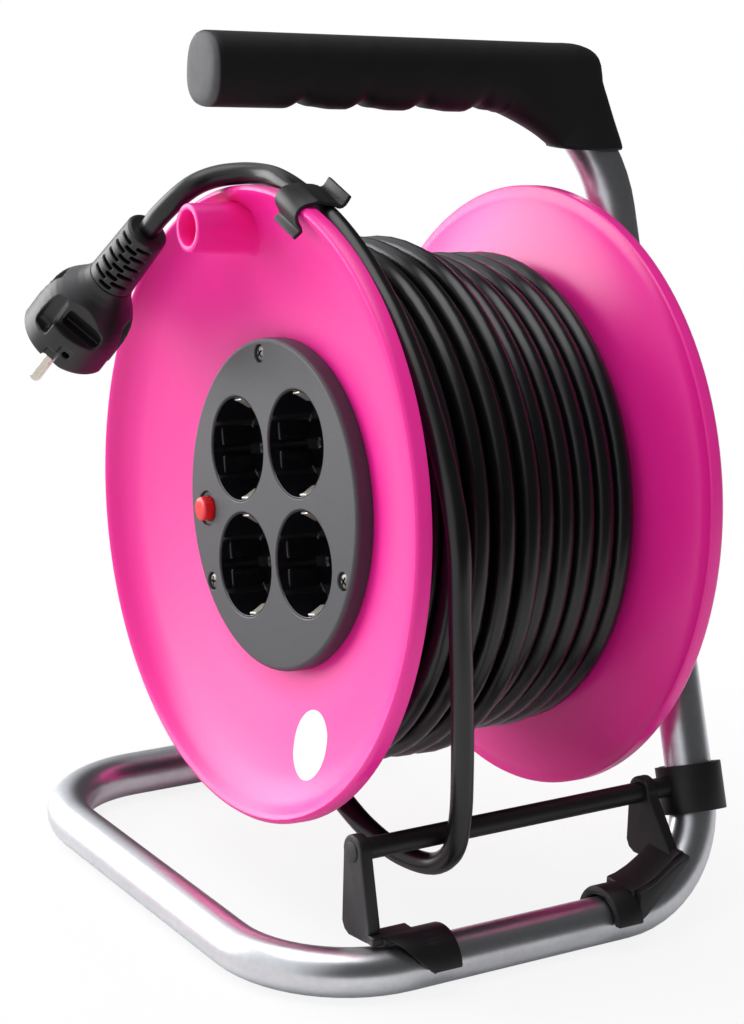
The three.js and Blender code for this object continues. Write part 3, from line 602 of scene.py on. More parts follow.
LOOP_ROUTE = [
    winding[-1] + wind_direction * FIT, winding[-1] + wind_direction * 8,
    *((44, 22.5, -103), (62, 25, -110.5), (78, 30, -115.5), (92, 35, -115), (102, 36, -107),
      (108, 34, -92), (114, 29, -70), (119, 23, -42), (122, 17.5, -12), (122.6, 14, 16)),
    on_ring(19, 117.5, 14.4), on_ring(29, 113, 15), on_ring(39, 110.4, 15.4),
    on_ring(49, 109.6, 15.6), on_ring(57, 110, 15.4), on_ring(64, 111.8, 14.6),
    on_ring(70.5, 114.2, 13.3), on_ring(75.5, 115.9, 12.6), on_ring(79.2, 116.85, 12.2),
]
PLUG_START, PLUG_TIP = Vector((-52.4, -18.4, 97.2)), Vector((-109.4, -33.1, 34.9))
PLUG_AXIS = (PLUG_TIP - PLUG_START).normalized()
TAIL_ROUTE = [
    on_ring(79.8, 117, 12.1), on_ring(83.3, 118.1, 12), on_ring(90.9, 121.7, 10.4),
    on_ring(97, 123.6, 9.6), on_ring(101.6, 124.6, 5.4), on_ring(105.3, 124.1, -2),
    on_ring(108, 121.3, -9), PLUG_START - PLUG_AXIS * 9, PLUG_START - PLUG_AXIS * FIT,
]


def lay_cord(name, line, body, solids, sides):
    piece = cord_through(name, line, TILTED, sides)
    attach(piece, body)
    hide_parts(*solids)
    return piece


wound_cord = lay_cord("wound_cord", winding, "drum", ["cord_winding", "cord_core"], 14)
loop_line, tail_line = smooth_route(LOOP_ROUTE), smooth_route(TAIL_ROUTE)
loop_cord = lay_cord("loop_cord", loop_line, "stand", ["cord_loop"], 20)
tail_cord = lay_cord("tail_cord", tail_line, "drum", ["cord_tail"], 20)


# ---- outlines and skins that several pieces are made from ----
def strip(path, half):
    """The outline of a bent strip: half its thickness on either side of its path."""
    path = [Vector(p) for p in path]
    steps = [(b - a).normalized() for a, b in zip(path, path[1:])]
    edge = []
    for at, before, after in zip(path, [steps[0], *steps], [*steps, steps[-1]]):
        along = (before + after).normalized()
        edge.append((at, Vector((-along.y, along.x)) * half / max(0.6, along.dot(after))))
    return [at + out for at, out in edge] + [at - out for at, out in reversed(edge)]


def arc(cx, cy, radius, start, stop, steps, rise=None):
    """Points round a centre, from one angle to another in degrees."""
    angles = [math.radians(start + (stop - start) * i / steps) for i in range(steps + 1)]
    return [(cx + radius * math.cos(a), cy + (rise or radius) * math.sin(a)) for a in angles]


def skinned(name, rings):
    """A skin bridged over rings that all have the same number of corners, closed at both ends."""
    loops = []
    for points in rings:
        nothing_picked()
        bpy.ops.mesh.primitive_circle_add(vertices=len(points), radius=1)
        loops.append(bpy.context.object)
        for corner, at in zip(loops[-1].data.vertices, points):
            corner.co = at
    piece = edited(heaped(*loops), everything=True)
    piece.name = piece.data.name = name
    bpy.ops.mesh.select_mode(type="EDGE")
    bpy.ops.mesh.bridge_edge_loops()
    bpy.ops.mesh.select_all(action="SELECT")
    bpy.ops.mesh.fill_holes(sides=0)
    return welded(piece)


def bent_line(corners, radii, steps=14):
    """Straight runs with a round bend at each inner corner, as a tube bender leaves them."""
    corners = [Vector(c) for c in corners]
    line = [corners[0]]
    for before, corner, after, radius in zip(corners, corners[1:], corners[2:], radii):
        arrive, leave = (corner - before).normalized(), (after - corner).normalized()
        turn = arrive.angle(leave)
        start = corner - arrive * radius * math.tan(turn / 2)
        inward = (leave - arrive * leave.dot(arrive)).normalized()
        for k in range(steps + 1):
            angle = turn * k / steps
            line.append(start + arrive * radius * math.sin(angle)
                        + inward * radius * (1 - math.cos(angle)))
    return [*line, corners[-1]]


def piped(name, line, radius, sides):
    """A tube skin along a drawn line."""
    piece = drawn(name, line)
    bpy.ops.object.mode_set(mode="OBJECT")
    bpy.ops.object.convert(target="CURVE")
    piece = bpy.context.object
    piece.data.bevel_depth, piece.data.bevel_resolution = radius, sides // 2 - 2
    bpy.ops.object.convert(target="MESH")
    return welded(bpy.context.object)


def moulded(piece, grain, passes):
    """Softens every edge, as on a soft moulding: a fine even skin, eased a few times."""
    applied(piece, "REMESH", mode="VOXEL", voxel_size=grain, use_smooth_shade=True)
    return applied(piece, "SMOOTH", factor=0.5, iterations=passes)


# ---- pink flanges ----
RIM_FACE = [(64, 18), (77, 15.1), (90, 12.6), (102, 9.4), (111, 6.4), (114.2, 3.6), (116.2, 1.3),
            (117.2, 0.4), (118.2, 0), (119.3, 0.4), (120, 1.5)]
RIM_BACK = [(120, 5.6), (119.4, 6.2), (117.2, 6.2), (114.6, 7.4), (112, 9.2), (90, 15.4),
            (64, 20.6), (61.5, 20.8)]
KNOB_Z = 105
COVER_SCREWS = [on_ring(a, SCREW_RING) for a in (90, 210, 330)]


def face_y(radius):
    """How far back the front flange's face is at a radius."""
    for (r0, y0), (r1, y1) in zip(RIM_FACE, RIM_FACE[1:]):
        if radius <= r1:
            return y0 + (y1 - y0) * (radius - r0) / (r1 - r0)
    return RIM_FACE[-1][1]


def flange_knob():
    knob = turned("knob", [(0, 17), (12.6, 17), (11.4, 12.4), (10.6, 10.6), (10.1, 8.8), (9.9, 6),
                           (9.15, -14.8), (9, -15.6), (8.5, -16), (7.3, -16), (6.8, -15.8),
                           (6.5, -15), (6.3, 6.5), (0, 7.5)], 64)
    behind = turned("behind_the_face", [(0, 15.2), (93, 13.9), (111, 8.3), (117.5, 5), (130, 5),
                                        (130, 40), (0, 40)], 160)
    return carved(shifted(knob, (0, 0, KNOB_Z)), behind)


def front_flange():
    shell = turned("pink_front_flange", [*RIM_FACE, *RIM_BACK, (61.5, 27), (54.5, 27), (54.5, 18)], 160)
    fused(shell, flange_knob())
    holes = [peg("screw_hole", 2.2, 16, 29, p.x, p.z, 16) for p in COVER_SCREWS]
    return carved(shell, brick("cutout_notch", -58, -50, 16, 29, -8, 8), *holes)


def rear_flange():
    hub = [(11.3, 72.4), (15.5, 72.4), (15.5, 112.9), (54.5, 112.9), (54.5, 106.5), (61.5, 106.5)]
    web = [(19, 115.5), (19, 118.4), (18.4, 119), (11.9, 119), (11.3, 118.4)]
    over = [(r, RIM_REAR - y) for r, y in reversed(RIM_BACK)]
    back = [(r, RIM_REAR - y) for r, y in reversed(RIM_FACE)]
    return turned("pink_rear_flange", [*hub, *over, *back, *web], 160)


def bare_sticker():
    """A plain white round sticker, laid on the sloping face."""
    sheet = turned("round_sticker", [(0, 0), (3, 0), (6, 0), (9, 0), (11.4, 0), (13, 0)], 72, sheet=True)
    shifted(sheet, on_ring(-79.5, 92))
    for v in sheet.data.vertices:
        v.co.y = face_y(math.hypot(v.co.x, v.co.z)) - 0.06
    applied(sheet, "SOLIDIFY", thickness=0.12, offset=0)
    return welded(sheet)


laid(front_flange(), DRUM, "drum", PINK, ["front_flange"], 40)
laid(rear_flange(), DRUM, "drum", PINK, ["rear_flange"], 40)
laid(bare_sticker(), DRUM, "drum", PAPER)


# ---- grey cover, sockets and contacts ----
SOCKET_PLACES = [(-WELL_OFFSET, WELL_OFFSET), (WELL_OFFSET, WELL_OFFSET),
                 (-WELL_OFFSET, -WELL_OFFSET), (WELL_OFFSET, -WELL_OFFSET)]


def socket_cover():
    front, rear, radius = COVER_FRONT, COVER_REAR, COVER_RADIUS
    plate = turned("grey_socket_cover", [
        (0, front), (radius - 1.7, front), (radius - 1, front + 0.2), (radius - 0.3, front + 0.8),
        (radius, front + 1.6), (radius, rear), (0, rear)], 160)
    cuts = []
    for x, z in SOCKET_PLACES:
        well = turned("well_hole", [(0, 5), (21.4, 5), (20.9, front), (20.5, front + 0.2),
                                    (20.3, front + 0.6), (20.3, 12.4), (21.5, 12.4), (21.5, 20),
                                    (0, 20)], 96)
        cuts.append(shifted(well, (x, 0, z)))
    for p in COVER_SCREWS:
        hole = turned("screw_recess", [(0, 5), (4, 5), (3.8, front), (3.5, front + 0.3), (3.5, 13.7),
                                       (2.2, 13.7), (2.2, 20), (0, 20)], 40)
        cuts.append(shifted(hole, (p.x, 0, p.z)))
    hole = turned("button_hole", [(0, 5), (7.3, 5), (7.2, front), (6.9, front + 0.3), (6.9, 20),
                                  (0, 20)], 56)
    return carved(plate, *cuts, shifted(hole, (BUTTON_X, 0, 0)))


def socket_insert():
    """A black cup with a flat guide at each side, parted by a groove, and holes for pins and clips."""
    cup = turned("black_socket_1", [(0, WELL_BACK), (WELL_OUTER, WELL_BACK), (WELL_OUTER, 12.7),
                                    (20.15, 12.7), (20.15, 11.4), (20, 11.25), (19.85, 11.3),
                                    (WELL_RADIUS, 11.6), (WELL_RADIUS, 27.6), (19.2, WELL_FLOOR),
                                    (0, WELL_FLOOR)], 96)
    for x, z in ((-18.9, -6), (-18.9, 6), (18.9, -6), (18.9, 6)):
        fused(cup, brick("side_guide", x - 1.5, x + 1.5, 14.6, 29.6, z - 4.1, z + 4.1, 0.9, 4))
    for side in (-1, 1):
        slot = brick("clip_slot", -2.7, 2.7, 14, 33, side * 18.2 - 1.0, side * 18.2 + 1.0)
        hole = turned("pin_hole", [(0, 27), (3.4, 27), (3.4, 28.4), (2.7, 29.2), (2.7, 33), (0, 33)], 32)
        carved(cup, slot, shifted(hole, (side * PIN_OFFSET, 0, 0)))
    return cup


def earth_clip():
    """One bent strip: a back bar and two sprung legs that lean into the well."""
    leg = [(12.9, 19.1), (14.6, 18.6), (18.6, 16.2), (20.2, 16.2), (22.4, 17.5), (28, 18.3),
           (32.3, 18.4)]
    path = leg + [(y, -z) for y, z in reversed(leg)]
    return rounded(sawn("nickel_earth_clip_1", strip(path, 0.4), -2.4, 2.4, "X"), 0.18, 2)


def button():
    cap = turned("red_reset_button", [
        (0, 7.5), (2.9, 7.55), (4, 7.65), (4.5, 7.95), (4.75, 8.6), (4.75, 13.4), (3, 13.4), (3, 35),
        (0, 35)], 64)
    return shifted(cap, (BUTTON_X, 0, 0))


def crossed_screw(name, head, front, depth, shank, tip):
    """A domed head with a cross recess, on a plain shank."""
    screw = turned(name, [(0, front), (head * 0.5, front + 0.08), (head * 0.85, front + 0.45),
                          (head, front + 0.95), (head, front + depth), (shank, front + depth),
                          (shank, tip - 1.5), (0, tip)], 40)
    arms = [brick("recess", -a, a, front - 1, front + 1.3, -b, b) for a, b in ((1.9, 0.42), (0.42, 1.9))]
    return carved(screw, *arms)


def button_bush():
    """The black lining that the button slides in."""
    lining = turned("black_button_bush", [(5.1, 12.4), (6.8, 12.4), (6.8, 17.4), (5.1, 17.4)], 56)
    return shifted(lining, (BUTTON_X, 0, 0))


laid(socket_cover(), DRUM, "drum", GREY, ["socket_cover"], 12)
laid(button_bush(), DRUM, "drum", GLOSS, smooth=12)
wells = [DRUM @ Matrix.Translation((x, 0, z)) for x, z in SOCKET_PLACES]
laid_in_turn(socket_insert(), wells, "socket_insert", GLOSS, 35)
laid_in_turn(earth_clip(), wells, "earth_clip", CLIP_NICKEL, 50)
laid(button(), DRUM, "button", RED, ["reset_button"], 40)
for number, p in enumerate(COVER_SCREWS, 1):
    screw = crossed_screw(f"crossed_cover_screw_{number}", 3.2, 11.2, 2.2, 1.9, 25.5)
    turn = Matrix.Rotation(math.radians(20 + 37 * number), 4, "Y")
    laid(screw, DRUM @ Matrix.Translation(p) @ turn, "drum", DARK_SCREW,
         [f"cover_screw_{number}"], 35)


# ---- spring clip over the front rim ----
CLIP_ANGLE, CLIP_TIP = 79.5, 8


def cable_clip():
    """A hook on the face, an arch over the rim, a plate that holds the cord, and a lip turned up."""
    path = [(-0.3, 108.7), (0.9, 110), (2, 111.4), (1.4, 112.8), (0.4, 114), (-0.5, 115.2),
            (-1.05, 116.4), (-1.3, 117.6), (-1.2, 118.9), (-0.7, 120), (0.1, 120.9), (1.3, 121.6),
            (2.8, 122), (4.8, 122.4), (6, 122.8), (6.9, 122.8), (7.8, 122.5), (9.4, 122.3),
            (12.2, 122.15), (14.3, 121.7), (15.2, 121.25), (16, 121.15), (16.8, 121.35),
            (17.6, 122), (18.3, 123.3), (19.1, 125.5)]
    return rounded(sawn("spring_cable_clip", strip(path, 0.75), -8, 8, "X"), 0.4, 3, 40)


at_rim = Matrix.Translation((0, 0, RIM_RADIUS))
clip_place = (TILTED @ Matrix.Rotation(math.radians(90 - CLIP_ANGLE), 4, "Y") @ at_rim
              @ Matrix.Rotation(math.radians(CLIP_TIP), 4, "Y") @ at_rim.inverted())
laid(cable_clip(), clip_place, "drum", NYLON, ["cable_clip"], 35)


# ---- plug, made along Y from its cord end ----
RELIEF, FACE = 28.6, 66.7
pin_side = Vector((0.64, -0.72, -0.27))
pin_side = (pin_side - PLUG_AXIS * pin_side.dot(PLUG_AXIS)).normalized()
PLUG = (TILTED @ Matrix.Translation(PLUG_START)
        @ Matrix((pin_side, PLUG_AXIS, pin_side.cross(PLUG_AXIS))).transposed().to_4x4())


def wedge(name, z0, z1, start, stop, high, low):
    """What a finger ramp takes away: it deepens from high to low off the axis, and stops in a wall."""
    tool = sawn(name, [(start, high), (stop, low), (stop, 24), (start, 24)], -z1, -z0, "X")
    return shifted(tool, Matrix.Rotation(math.pi / 2, 4, "Y"))


def plug_body():
    body = turned("moulded_plug_body", [
        (0, RELIEF), (9.4, RELIEF), (9.7, 30), (10.3, 31.8), (11.7, 34.6), (13.6, 37.4), (15.6, 40.4),
        (17, 43), (18, 46), (18.7, 49.6), (19, 53), (19.1, 57), (19.1, FACE - 1.1), (18.2, FACE),
        (0, FACE)], 96)
    for side in (-1, 1):
        facing = Matrix.Identity(4) if side > 0 else HALF_TURN
        cuts = [brick("finger_flat", 13.9, 26, 24, 51, -15, 15, 1.2, 3),
                brick("side_channel", 12.2, 24, 40, 58, -13.3, -6, 2.2, 4),
                rounded(wedge("finger_ramp", -4.2, 12.2, 37.5, 50.6, 16.6, 9.8), 1.0, 3),
                brick("shallow_step", 17.6, 24, FACE - 11, FACE + 2, 1.6, 11.6, 0.4, 2),
                brick("small_opening", 14, 24, FACE - 8.4, FACE - 6.2, 3.6, 6.6, 0.3, 2),
                brick("guide_groove", 16.4, 24, FACE - 6, FACE + 2, -2.6, 2.6, 0.4, 2)]
        carved(body, *(shifted(tool, facing) for tool in cuts))
        low, high = (14.6, 24) if side > 0 else (-24, -14.6)
        carved(body, brick("earth_recess", -4.2, 4.2, FACE - 26, FACE + 2, low, high),
               peg("pin_seat", 2.7, FACE - 10.3, FACE + 2, side * PIN_OFFSET, 0, 24))
    return moulded(body, 0.42, 4)


SLOT_ROWS, SLOT_FIRST, SLOT_PITCH, SLOT_WIDTH = 10, 3.2, 2.5, 1.5


def plug_relief():
    """A smooth ribbed cone: rows of slots in two opposite faces, paired and single in turn."""
    relief = turned("ribbed_plug_relief", [(0, 0), (7.2, 0), (8, 0.3), (8.4, 1), (9.4, RELIEF),
                                           (0, RELIEF)], 64)
    for row in range(SLOT_ROWS):
        y = SLOT_FIRST + SLOT_PITCH * row
        spans = [(-7.6, -1.3), (1.3, 7.6)] if row % 2 == 0 else [(-2.6, 2.6)]
        for z0, z1 in spans:
            for x0, x1 in ((4.9, 12), (-12, -4.9)):
                carved(relief, brick("slot", x0, x1, y, y + SLOT_WIDTH, z0, z1))
    return moulded(relief, 0.32, 3)


def plug_pin():
    return turned("round_plug_pin_1", [(0, FACE - 10), (2.4, FACE - 10), (2.4, FACE + 17.2),
                                       (2.2, FACE + 18.1), (1.6, FACE + 18.7), (0.8, FACE + 19),
                                       (0, FACE + 19)], 40)


def earth_strip():
    """A sprung strip in the plug's side, a little crowned."""
    path = [(FACE - 17, 13.9), (FACE - 15.5, 14.6), (FACE - 9, 15.2), (FACE - 2.5, 14.8),
            (FACE - 0.6, 14.0)]
    return rounded(sawn("sprung_earth_strip_1", strip(path, 0.35), -2.5, 2.5, "X"), 0.15, 2)


pin_places = [PLUG @ Matrix.Translation((x, 0, 0)) for x in (-PIN_OFFSET, PIN_OFFSET)]
strip_places = [PLUG @ HALF_TURN, PLUG]
on_plug = [laid(plug_body(), PLUG, "drum", PLUG_PVC, ["plug_body"], 60),
           laid(plug_relief(), PLUG, "drum", PLUG_PVC, ["plug_relief"], 60),
           *laid_in_turn(plug_pin(), pin_places, "plug_pin", NICKEL, 40),
           *laid_in_turn(earth_strip(), strip_places, "plug_earth_strip", NICKEL, 50)]


# ---- stand: tube, end plug, grip ----
LEVEL = Matrix.Translation((0, 0, SPINDLE.z / MM)) @ Matrix.Rotation(-LEAN_BACK, 4, "X")


def on_upright(z):
    return LEVEL @ Vector((upright_x(z), UPRIGHT_PLANE, z))


def tube_line():
    foot = on_upright(-139 + (TUBE_RADIUS - on_upright(-139).z) / math.cos(LEAN_BACK))
    foot.x = BASE_RIGHT
    corners = [(BASE_LEFT, BASE_LEFT_END, TUBE_RADIUS), (BASE_LEFT, BASE_FRONT, TUBE_RADIUS),
               (BASE_RIGHT, BASE_FRONT, TUBE_RADIUS), foot, on_upright(GRIP_Z),
               LEVEL @ Vector((upright_x(GRIP_Z), -14, GRIP_Z))]
    return bent_line(corners, [BASE_BEND, BASE_BEND, 42, 52])


def frame_tube():
    tube = piped("zinc_frame_tube", tube_line(), TUBE_RADIUS, 40)
    return applied(tube, "SOLIDIFY", thickness=TUBE_WALL, offset=-1)


def end_plug():
    y = BASE_LEFT_END
    plug = turned("black_tube_end_plug", [
        (0, y + 4), (3.5, y + 3.85), (6.4, y + 3.3), (8.3, y + 2.4), (9.2, y + 1.2), (9.3, y + FIT),
        (7, y + FIT), (7, y - 11), (6.4, y - 12), (0, y - 12)], 56)
    return shifted(plug, (BASE_LEFT, 0, TUBE_RADIUS + FIT))


def grip_ring(upper, lower, inset=0.0, sides=48):
    """One oval ring of the grip between an upper and a lower (y, z) point of its side view."""
    ring = []
    for i in range(sides):
        angle = (i + 0.5) / sides * 2 * math.pi
        across, rise = (math.copysign(abs(v) ** 0.78, v) for v in (math.cos(angle), math.sin(angle)))
        at = Vector(lower).lerp(Vector(upper), (1 + rise) / 2)
        lean = UPRIGHT_SLOPE * max(0.0, GRIP_Z - at.y) * ease(at.x, 100, 130)
        ring.append((upright_x(GRIP_Z) + lean + across * (GRIP_HALF - inset), at.x, at.y))
    return ring


def finger_depth(y):
    """The finger grooves under the grip: a long rise, a short fall, and a low crest after each."""
    depth = 0.0
    for centre in (16, 42, 68, 94):
        before, after = centre - 7, centre + 4.3
        if before < y <= centre:
            depth = max(depth, 2.8 * ease(y, before, centre))
        elif centre < y < centre + 14:
            fall, tail = 1 - ease(y, centre, after), 1 - ease(y, after, centre + 14)
            depth = max(depth, 0.9 * tail + 1.9 * fall)
    return depth


def handle_grip():
    top, under, front = GRIP_TOP, GRIP_UNDER, GRIP_FRONT
    rings = [grip_ring((front - d, top - i), (front - d, under + i), i)
             for d, i in ((0.5, 8), (0.4, 5), (0.2, 2.6), (-0.2, 1.4), (-1.0, 0.5), (-2.2, 0))]
    y = front + 4
    while y < 106:
        rings.append(grip_ring((y, top), (y, under + finger_depth(y))))
        y += 1.5
    upper = [(106, top), (112, top), (128, top), (142, top - 0.4), (149.4, top - 4), (152.4, 160),
             (155, 148), (157.3, 138.4), (157.4, 136.8)]
    lower = [(104.5, under), (107, under - 0.4), (116, 143.6), (122.5, 139.6), (125, 137.6),
             (126, 137), (126.4, 136.8), (126.6, 136.9), (127, 136.8)]
    ups, lows = (smooth_route([(y, z, 0) for y, z in side], 4) for side in (upper, lower))
    rings += [grip_ring(u.xy, v.xy) for u, v in zip(ups, lows)]
    rings.append(grip_ring((157.2, 136), (126.8, 136), 0.9))
    return skinned("rubber_handle_grip", rings)


laid(frame_tube(), STAND, "stand", ZINC, ["frame_tube"], 40)
laid(end_plug(), STAND, "stand", NYLON, ["tube_end_plug"], 40)
laid(handle_grip(), TILTED, "stand", RUBBER, ["handle_grip"], 50)


# ---- cable guide on the right run and the upright ----
SNAP_INNER, SNAP_OUTER, SNAP_FROM, SNAP_TO = 9.8, 13.2, 6, 214
ROD_FROM, ROD_TO, ROD_RADIUS = -7, 136.5, 4
FRONT_ARM, FRONT_SNAP, REAR_SNAP, REAR_ARM = (-6.4, -1.4), (11.5, 24), (94, 105.5), (122, 127)
COLLAR_HEIGHT = -99.9


def snap_ring(name, start, stop, y0, y1, edge=0.7):
    outer = arc(BASE_RIGHT, TUBE_RADIUS, SNAP_OUTER, start, stop, 30)
    inner = arc(BASE_RIGHT, TUBE_RADIUS, SNAP_INNER, stop, start, 30)
    ring = sawn(name, outer + inner, y0, y1)
    return rounded(ring, edge, 2, 40) if edge else ring


def guide_arm(name, y0, y1, foot, reach):
    """A flat arm from the rod down to its foot, which reaches out over the tube."""
    head = arc(ROD_X, ROD_Z, 6.2, 195, 0, 14)
    out = ROD_X + reach
    foot_line = [(out, foot + 7), (out - 0.4, foot + 3.4), (out - 1.6, foot + 1.2),
                 (ROD_X - 1, foot), (ROD_X - 4, foot + 1.2), (ROD_X - 5.8, foot + 4)]
    return rounded(sawn(name, head + foot_line, y0, y1), 0.8, 3, 40)


def guide_foot():
    """The front foot: over the tube, then down to the lower edge of its clip."""
    ring = snap_ring("foot_ring", SNAP_FROM, 95, -6.4, 12.4, 0)
    drop = sawn("foot_drop", [(-9, 4), (-9, 22.9), (-1.4, 22.1), (3, 19.2), (8.5, 13.4), (13, 9.4),
                              (13, 4)], 100, 130, "X")
    web = brick("foot_web", 96, 110, *FRONT_ARM, 18.9, 22.4, 0.8)
    bridge = brick("foot_bridge", 101.5, 111, -2.4, 12.4, 18.9, 22, 0.8)
    return fused(rounded(carved(ring, drop), 0.6, 2, 40), web, bridge)


def rear_foot():
    """The rear foot: a sloping plate from the arm to the clip, and a side that runs down by the tube."""
    outline = [(103, 19.1), (107, 19.3), (111, 19.8), (115, 20.7), (119, 21.9), (123, 23.8), (127, 26.1),
               (127, 33.4), (124, 33.4), (120.6, 31), (117, 28), (112, 25), (107, 23), (103, 22.2)]
    foot = rounded(sawn("rear_foot", outline, 101.5, 118, "X"), 0.7, 2, 40)
    side = [(104.6, 9.6), (108, 12), (112, 16), (118, 21.4), (124, 27.6), (127, 30.6), (127, 33),
            (120.6, 30.6), (112, 24.6), (104.6, 22)]
    return fused(foot, rounded(sawn("foot_side", side, 117.4, 121.4, "X"), 0.6, 2, 40))


def guide_collar():
    collar = turned("collar", [(12.8, -9.2), (12.8, 9.2), (10.5, 9.2), (10.5, -9.2)], 72)
    slot = brick("slot", -16, -8, -10.2, 10.2, -3, 3)
    carved(collar, shifted(slot, Matrix.Rotation(math.radians(38), 4, "Y")))
    along = Matrix.Rotation(-math.atan(UPRIGHT_SLOPE), 4, "Y") @ Matrix.Rotation(math.pi / 2, 4, "X")
    place = Matrix.Translation((upright_x(COLLAR_HEIGHT), UPRIGHT_PLANE, COLLAR_HEIGHT)) @ along
    return shifted(rounded(collar, 0.9, 3, 50), LEVEL @ place)


def cable_guide():
    rod = peg("moulded_cable_guide", ROD_RADIUS, ROD_FROM, ROD_TO, ROD_X, ROD_Z, 40, 0.8)
    return fused(rod, guide_arm("front_arm", *FRONT_ARM, 17.5, 13), guide_foot(),
                 snap_ring("front_snap", SNAP_FROM, SNAP_TO, *FRONT_SNAP),
                 guide_arm("rear_arm", *REAR_ARM, 25, 21), rear_foot(),
                 snap_ring("rear_snap", SNAP_FROM, SNAP_TO, *REAR_SNAP), guide_collar())


laid(cable_guide(), STAND, "stand", NYLON, ["cable_guide"], 35)


# ---- bracket on the upright, with its bolts and nuts ----
BOLT_HEIGHTS = {"lower": -17, "upper": 17}
PLATE_FRONT, PLATE_REAR = 137.8, 141.9


def axle_bracket():
    right, left = upright_x(-30) + 10, upright_x(30) + 10
    plate = sawn("pressed_axle_bracket", [*arc(0, 0, 20, 90, 270, 28), (40, -30), (right - 5, -30),
                                          (right, -25), (left, 25), (left - 5, 30), (40, 30)],
                 PLATE_FRONT, PLATE_REAR)
    boss = turned("boss", [(0, 125), (12, 125), (13, 126), (13, 138.8), (0, 138.8)], 56)
    bolts = [peg("bolt_hole", 3.4, 130, 145, upright_x(z), z, 20) for z in BOLT_HEIGHTS.values()]
    return carved(fused(rounded(plate, 0.6, 2, 40), boss), peg("bore", 8.3, 120, 150, 0, 0, 48), *bolts)


def hexagon(name, across, y0, y1):
    corners = [(across / math.sqrt(3) * math.cos(a), across / math.sqrt(3) * math.sin(a))
               for a in (math.radians(60 * i) for i in range(6))]
    blank = sawn(name, corners, y0, y1)
    wide = across / math.sqrt(3) + 0.1
    turned_off = turned("chamfer", [(0, y0), (wide - 0.9, y0), (wide, y0 + 0.6), (wide, y1 - 0.6),
                                    (wide - 0.9, y1), (0, y1)], 48)
    applied(blank, "BOOLEAN", object=turned_off, operation="INTERSECT", solver="EXACT")
    bpy.data.objects.remove(turned_off)
    return blank


def bolt(name):
    return fused(hexagon(name, 10, 133.6, 137.5), peg("shank", 3, 137, 167.5, 0, 0, 24, 0.5))


def nut(name):
    return carved(hexagon(name, 10, 161.6, 166.4), peg("thread", 3.4, 160, 168, 0, 0, 24))


laid(axle_bracket(), TILTED, "stand", SCREW_STEEL, ["axle_bracket"], 35)
for level, z in BOLT_HEIGHTS.items():
    place = TILTED @ Matrix.Translation((upright_x(z), 0, z))
    laid(bolt(f"hex_bolt_{level}"), place, "stand", SCREW_STEEL, [f"bracket_bolt_{level}"])
    laid(nut(f"hex_nut_{level}"), place, "stand", SCREW_STEEL, [f"bracket_nut_{level}"])


# ---- solids that show as they are, in their finishes ----
KEPT = [
    (SCREW_STEEL, ["axle_pin", "axle_washer", "axle_nut", "rear_screw_1", "rear_screw_2", "rear_screw_3"]),
    (NATURAL, ["bearing_bush", "terminal_block"]),
    (BRASS, ["line_busbar", "neutral_busbar", "earth_busbar"]),
    (NYLON, ["thermal_cutout", "cord_gland"]),
    (PINK, ["drum_barrel"])]
for finish, names in KEPT:
    for name in names:
        solid = frame["nodes"][name]
        solid.data.materials.clear()
        solid.data.materials.append(finish)

# ---- the cords' lengths and the starts of the loop and the tail, worked out here and not kept ----
cord_length(winding)
TILTED @ loop_line[0]
cord_length(loop_line)
TILTED @ tail_line[0]
cord_length(tail_line)


# ---- studio ----
def softbox(name, direction, distance, width, height, power):
    """A soft lamp that faces the reel from a direction."""
    lamp = bpy.data.lights.new(name, "AREA")
    lamp.shape, lamp.size, lamp.size_y, lamp.energy = "RECTANGLE", width, height, power
    holder = bpy.data.objects.new(name, lamp)
    bpy.context.scene.collection.objects.link(holder)
    away = Vector(direction).normalized()
    holder.matrix_world = (Matrix.Translation(CAMERA_TARGET + away * distance)
                           @ away.to_track_quat("Z", "Y").to_matrix().to_4x4())


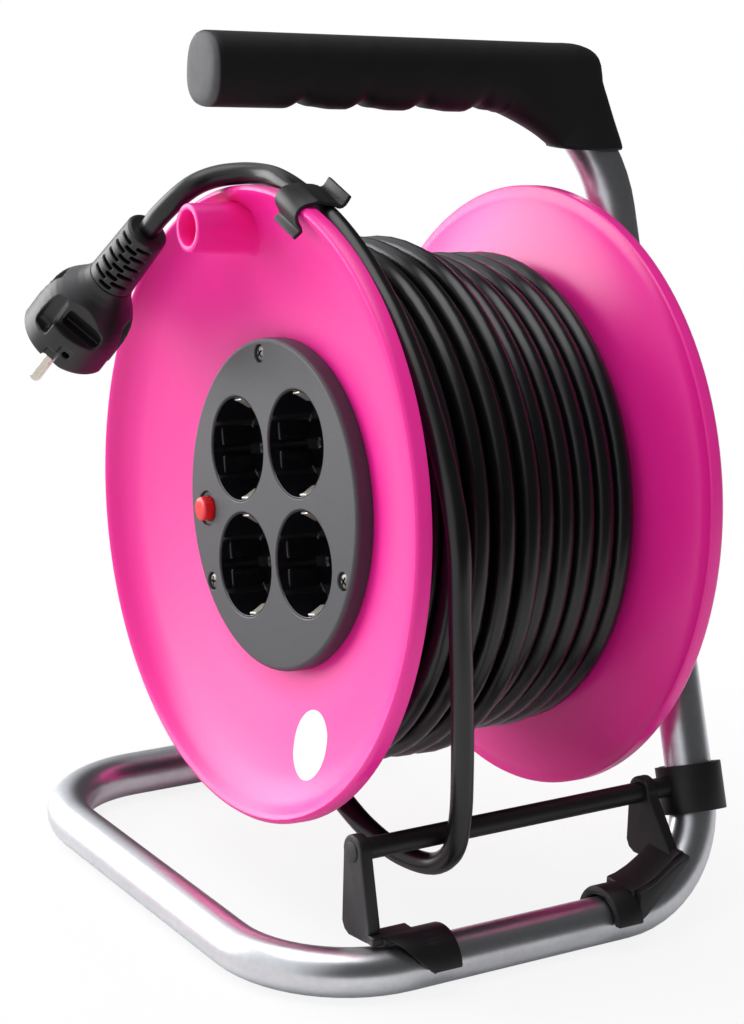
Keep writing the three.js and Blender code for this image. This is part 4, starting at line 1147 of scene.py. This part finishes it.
def add_world():
    """A white studio: an even level on everything, and a mirror image that is dark to the right."""
    world = bpy.data.worlds.new("studio")
    bpy.context.scene.world = world
    n = Nodes(world)
    output = next(node for node in n.nodes if node.type == "OUTPUT_WORLD")
    path = n.node("ShaderNodeLightPath")
    way = n.node("ShaderNodeTexCoord").outputs["Generated"]
    bright_side = n.node("ShaderNodeVectorMath", {"operation": "DOT_PRODUCT"},
                         {0: way, 1: Vector((-0.6, -0.76, 0.25))})
    mirrored = Value(n, bright_side.outputs["Value"]).over(0.3, 0.55) * 0.93 + 0.07
    sides = []
    for strength in (0.46, mirrored, 1.0):
        tone = (1, 1, 1, 1) if strength == 1.0 else (0.95, 0.965, 1.0, 1)
        sides.append(n.node("ShaderNodeBackground", None, {"Color": tone, "Strength": strength}).outputs[0])
    lit = n.node("ShaderNodeMixShader", None, {0: path.outputs["Is Glossy Ray"], 1: sides[0], 2: sides[1]})
    seen = n.node("ShaderNodeMixShader", None, {0: path.outputs["Is Camera Ray"], 1: lit.outputs[0],
                                                2: sides[2]})
    n.feed(output.inputs["Surface"], seen.outputs[0])


def add_floor():
    """A pale floor that keeps the shadow near the reel and runs out into white.

    In a mirror image it is white to the left, and dark a little way in front of the guide."""
    nothing_picked()
    bpy.ops.mesh.primitive_plane_add(size=8, location=(0, 0, 0))
    floor = bpy.context.object
    floor.name = floor.data.name = "floor"
    f = Finish("pale_floor", (0.92, 0.92, 0.92), 0.9, Specular_IOR_Level=0.0)
    path = f.node("ShaderNodeLightPath")
    away = Value(f, f.node("ShaderNodeVectorMath", {"operation": "LENGTH"}, {0: f.place}).outputs["Value"])
    seen, mirrored, through = (Value(f, path.outputs[f"Is {kind} Ray"])
                               for kind in ("Camera", "Glossy", "Transmission"))
    ahead = (f.axis("X") * 0.845 + f.axis("Y") * -0.534).over(0.36, 0.2)
    f.set(Base_Color=f.mixed(mirrored * ahead * 0.85, f.color, (0.0, 0.0, 0.0)))
    left = 1 - (f.axis("X") * 0.8 + f.axis("Y") * 0.6).over(0.12, 0.4)
    share = seen * (0.86 + away.over(0.27, 0.2) * 0.14)
    image = mirrored.math("MAXIMUM", mirrored, through) * away.over(0.18, 0.16) * left
    share = share.math("MAXIMUM", share, image)
    white = f.node("ShaderNodeEmission", None, {"Color": (1, 1, 1, 1), "Strength": 1.0})
    mix = f.node("ShaderNodeMixShader", None, {0: share, 1: f.shader.outputs[0], 2: white.outputs[0]})
    output = next(node for node in f.nodes if node.type == "OUTPUT_MATERIAL")
    f.feed(output.inputs["Surface"], mix.outputs[0])
    floor.data.materials.append(f.material)


softbox("key_softbox", (-0.80, -0.55, 0.27), 1.5, 1.3, 1.1, 22.5)
softbox("top_softbox", (-0.1, -0.2, 1.0), 1.4, 1.2, 1.2, 11.0)
add_world()
add_floor()
bpy.context.scene.view_settings.view_transform = "Standard"
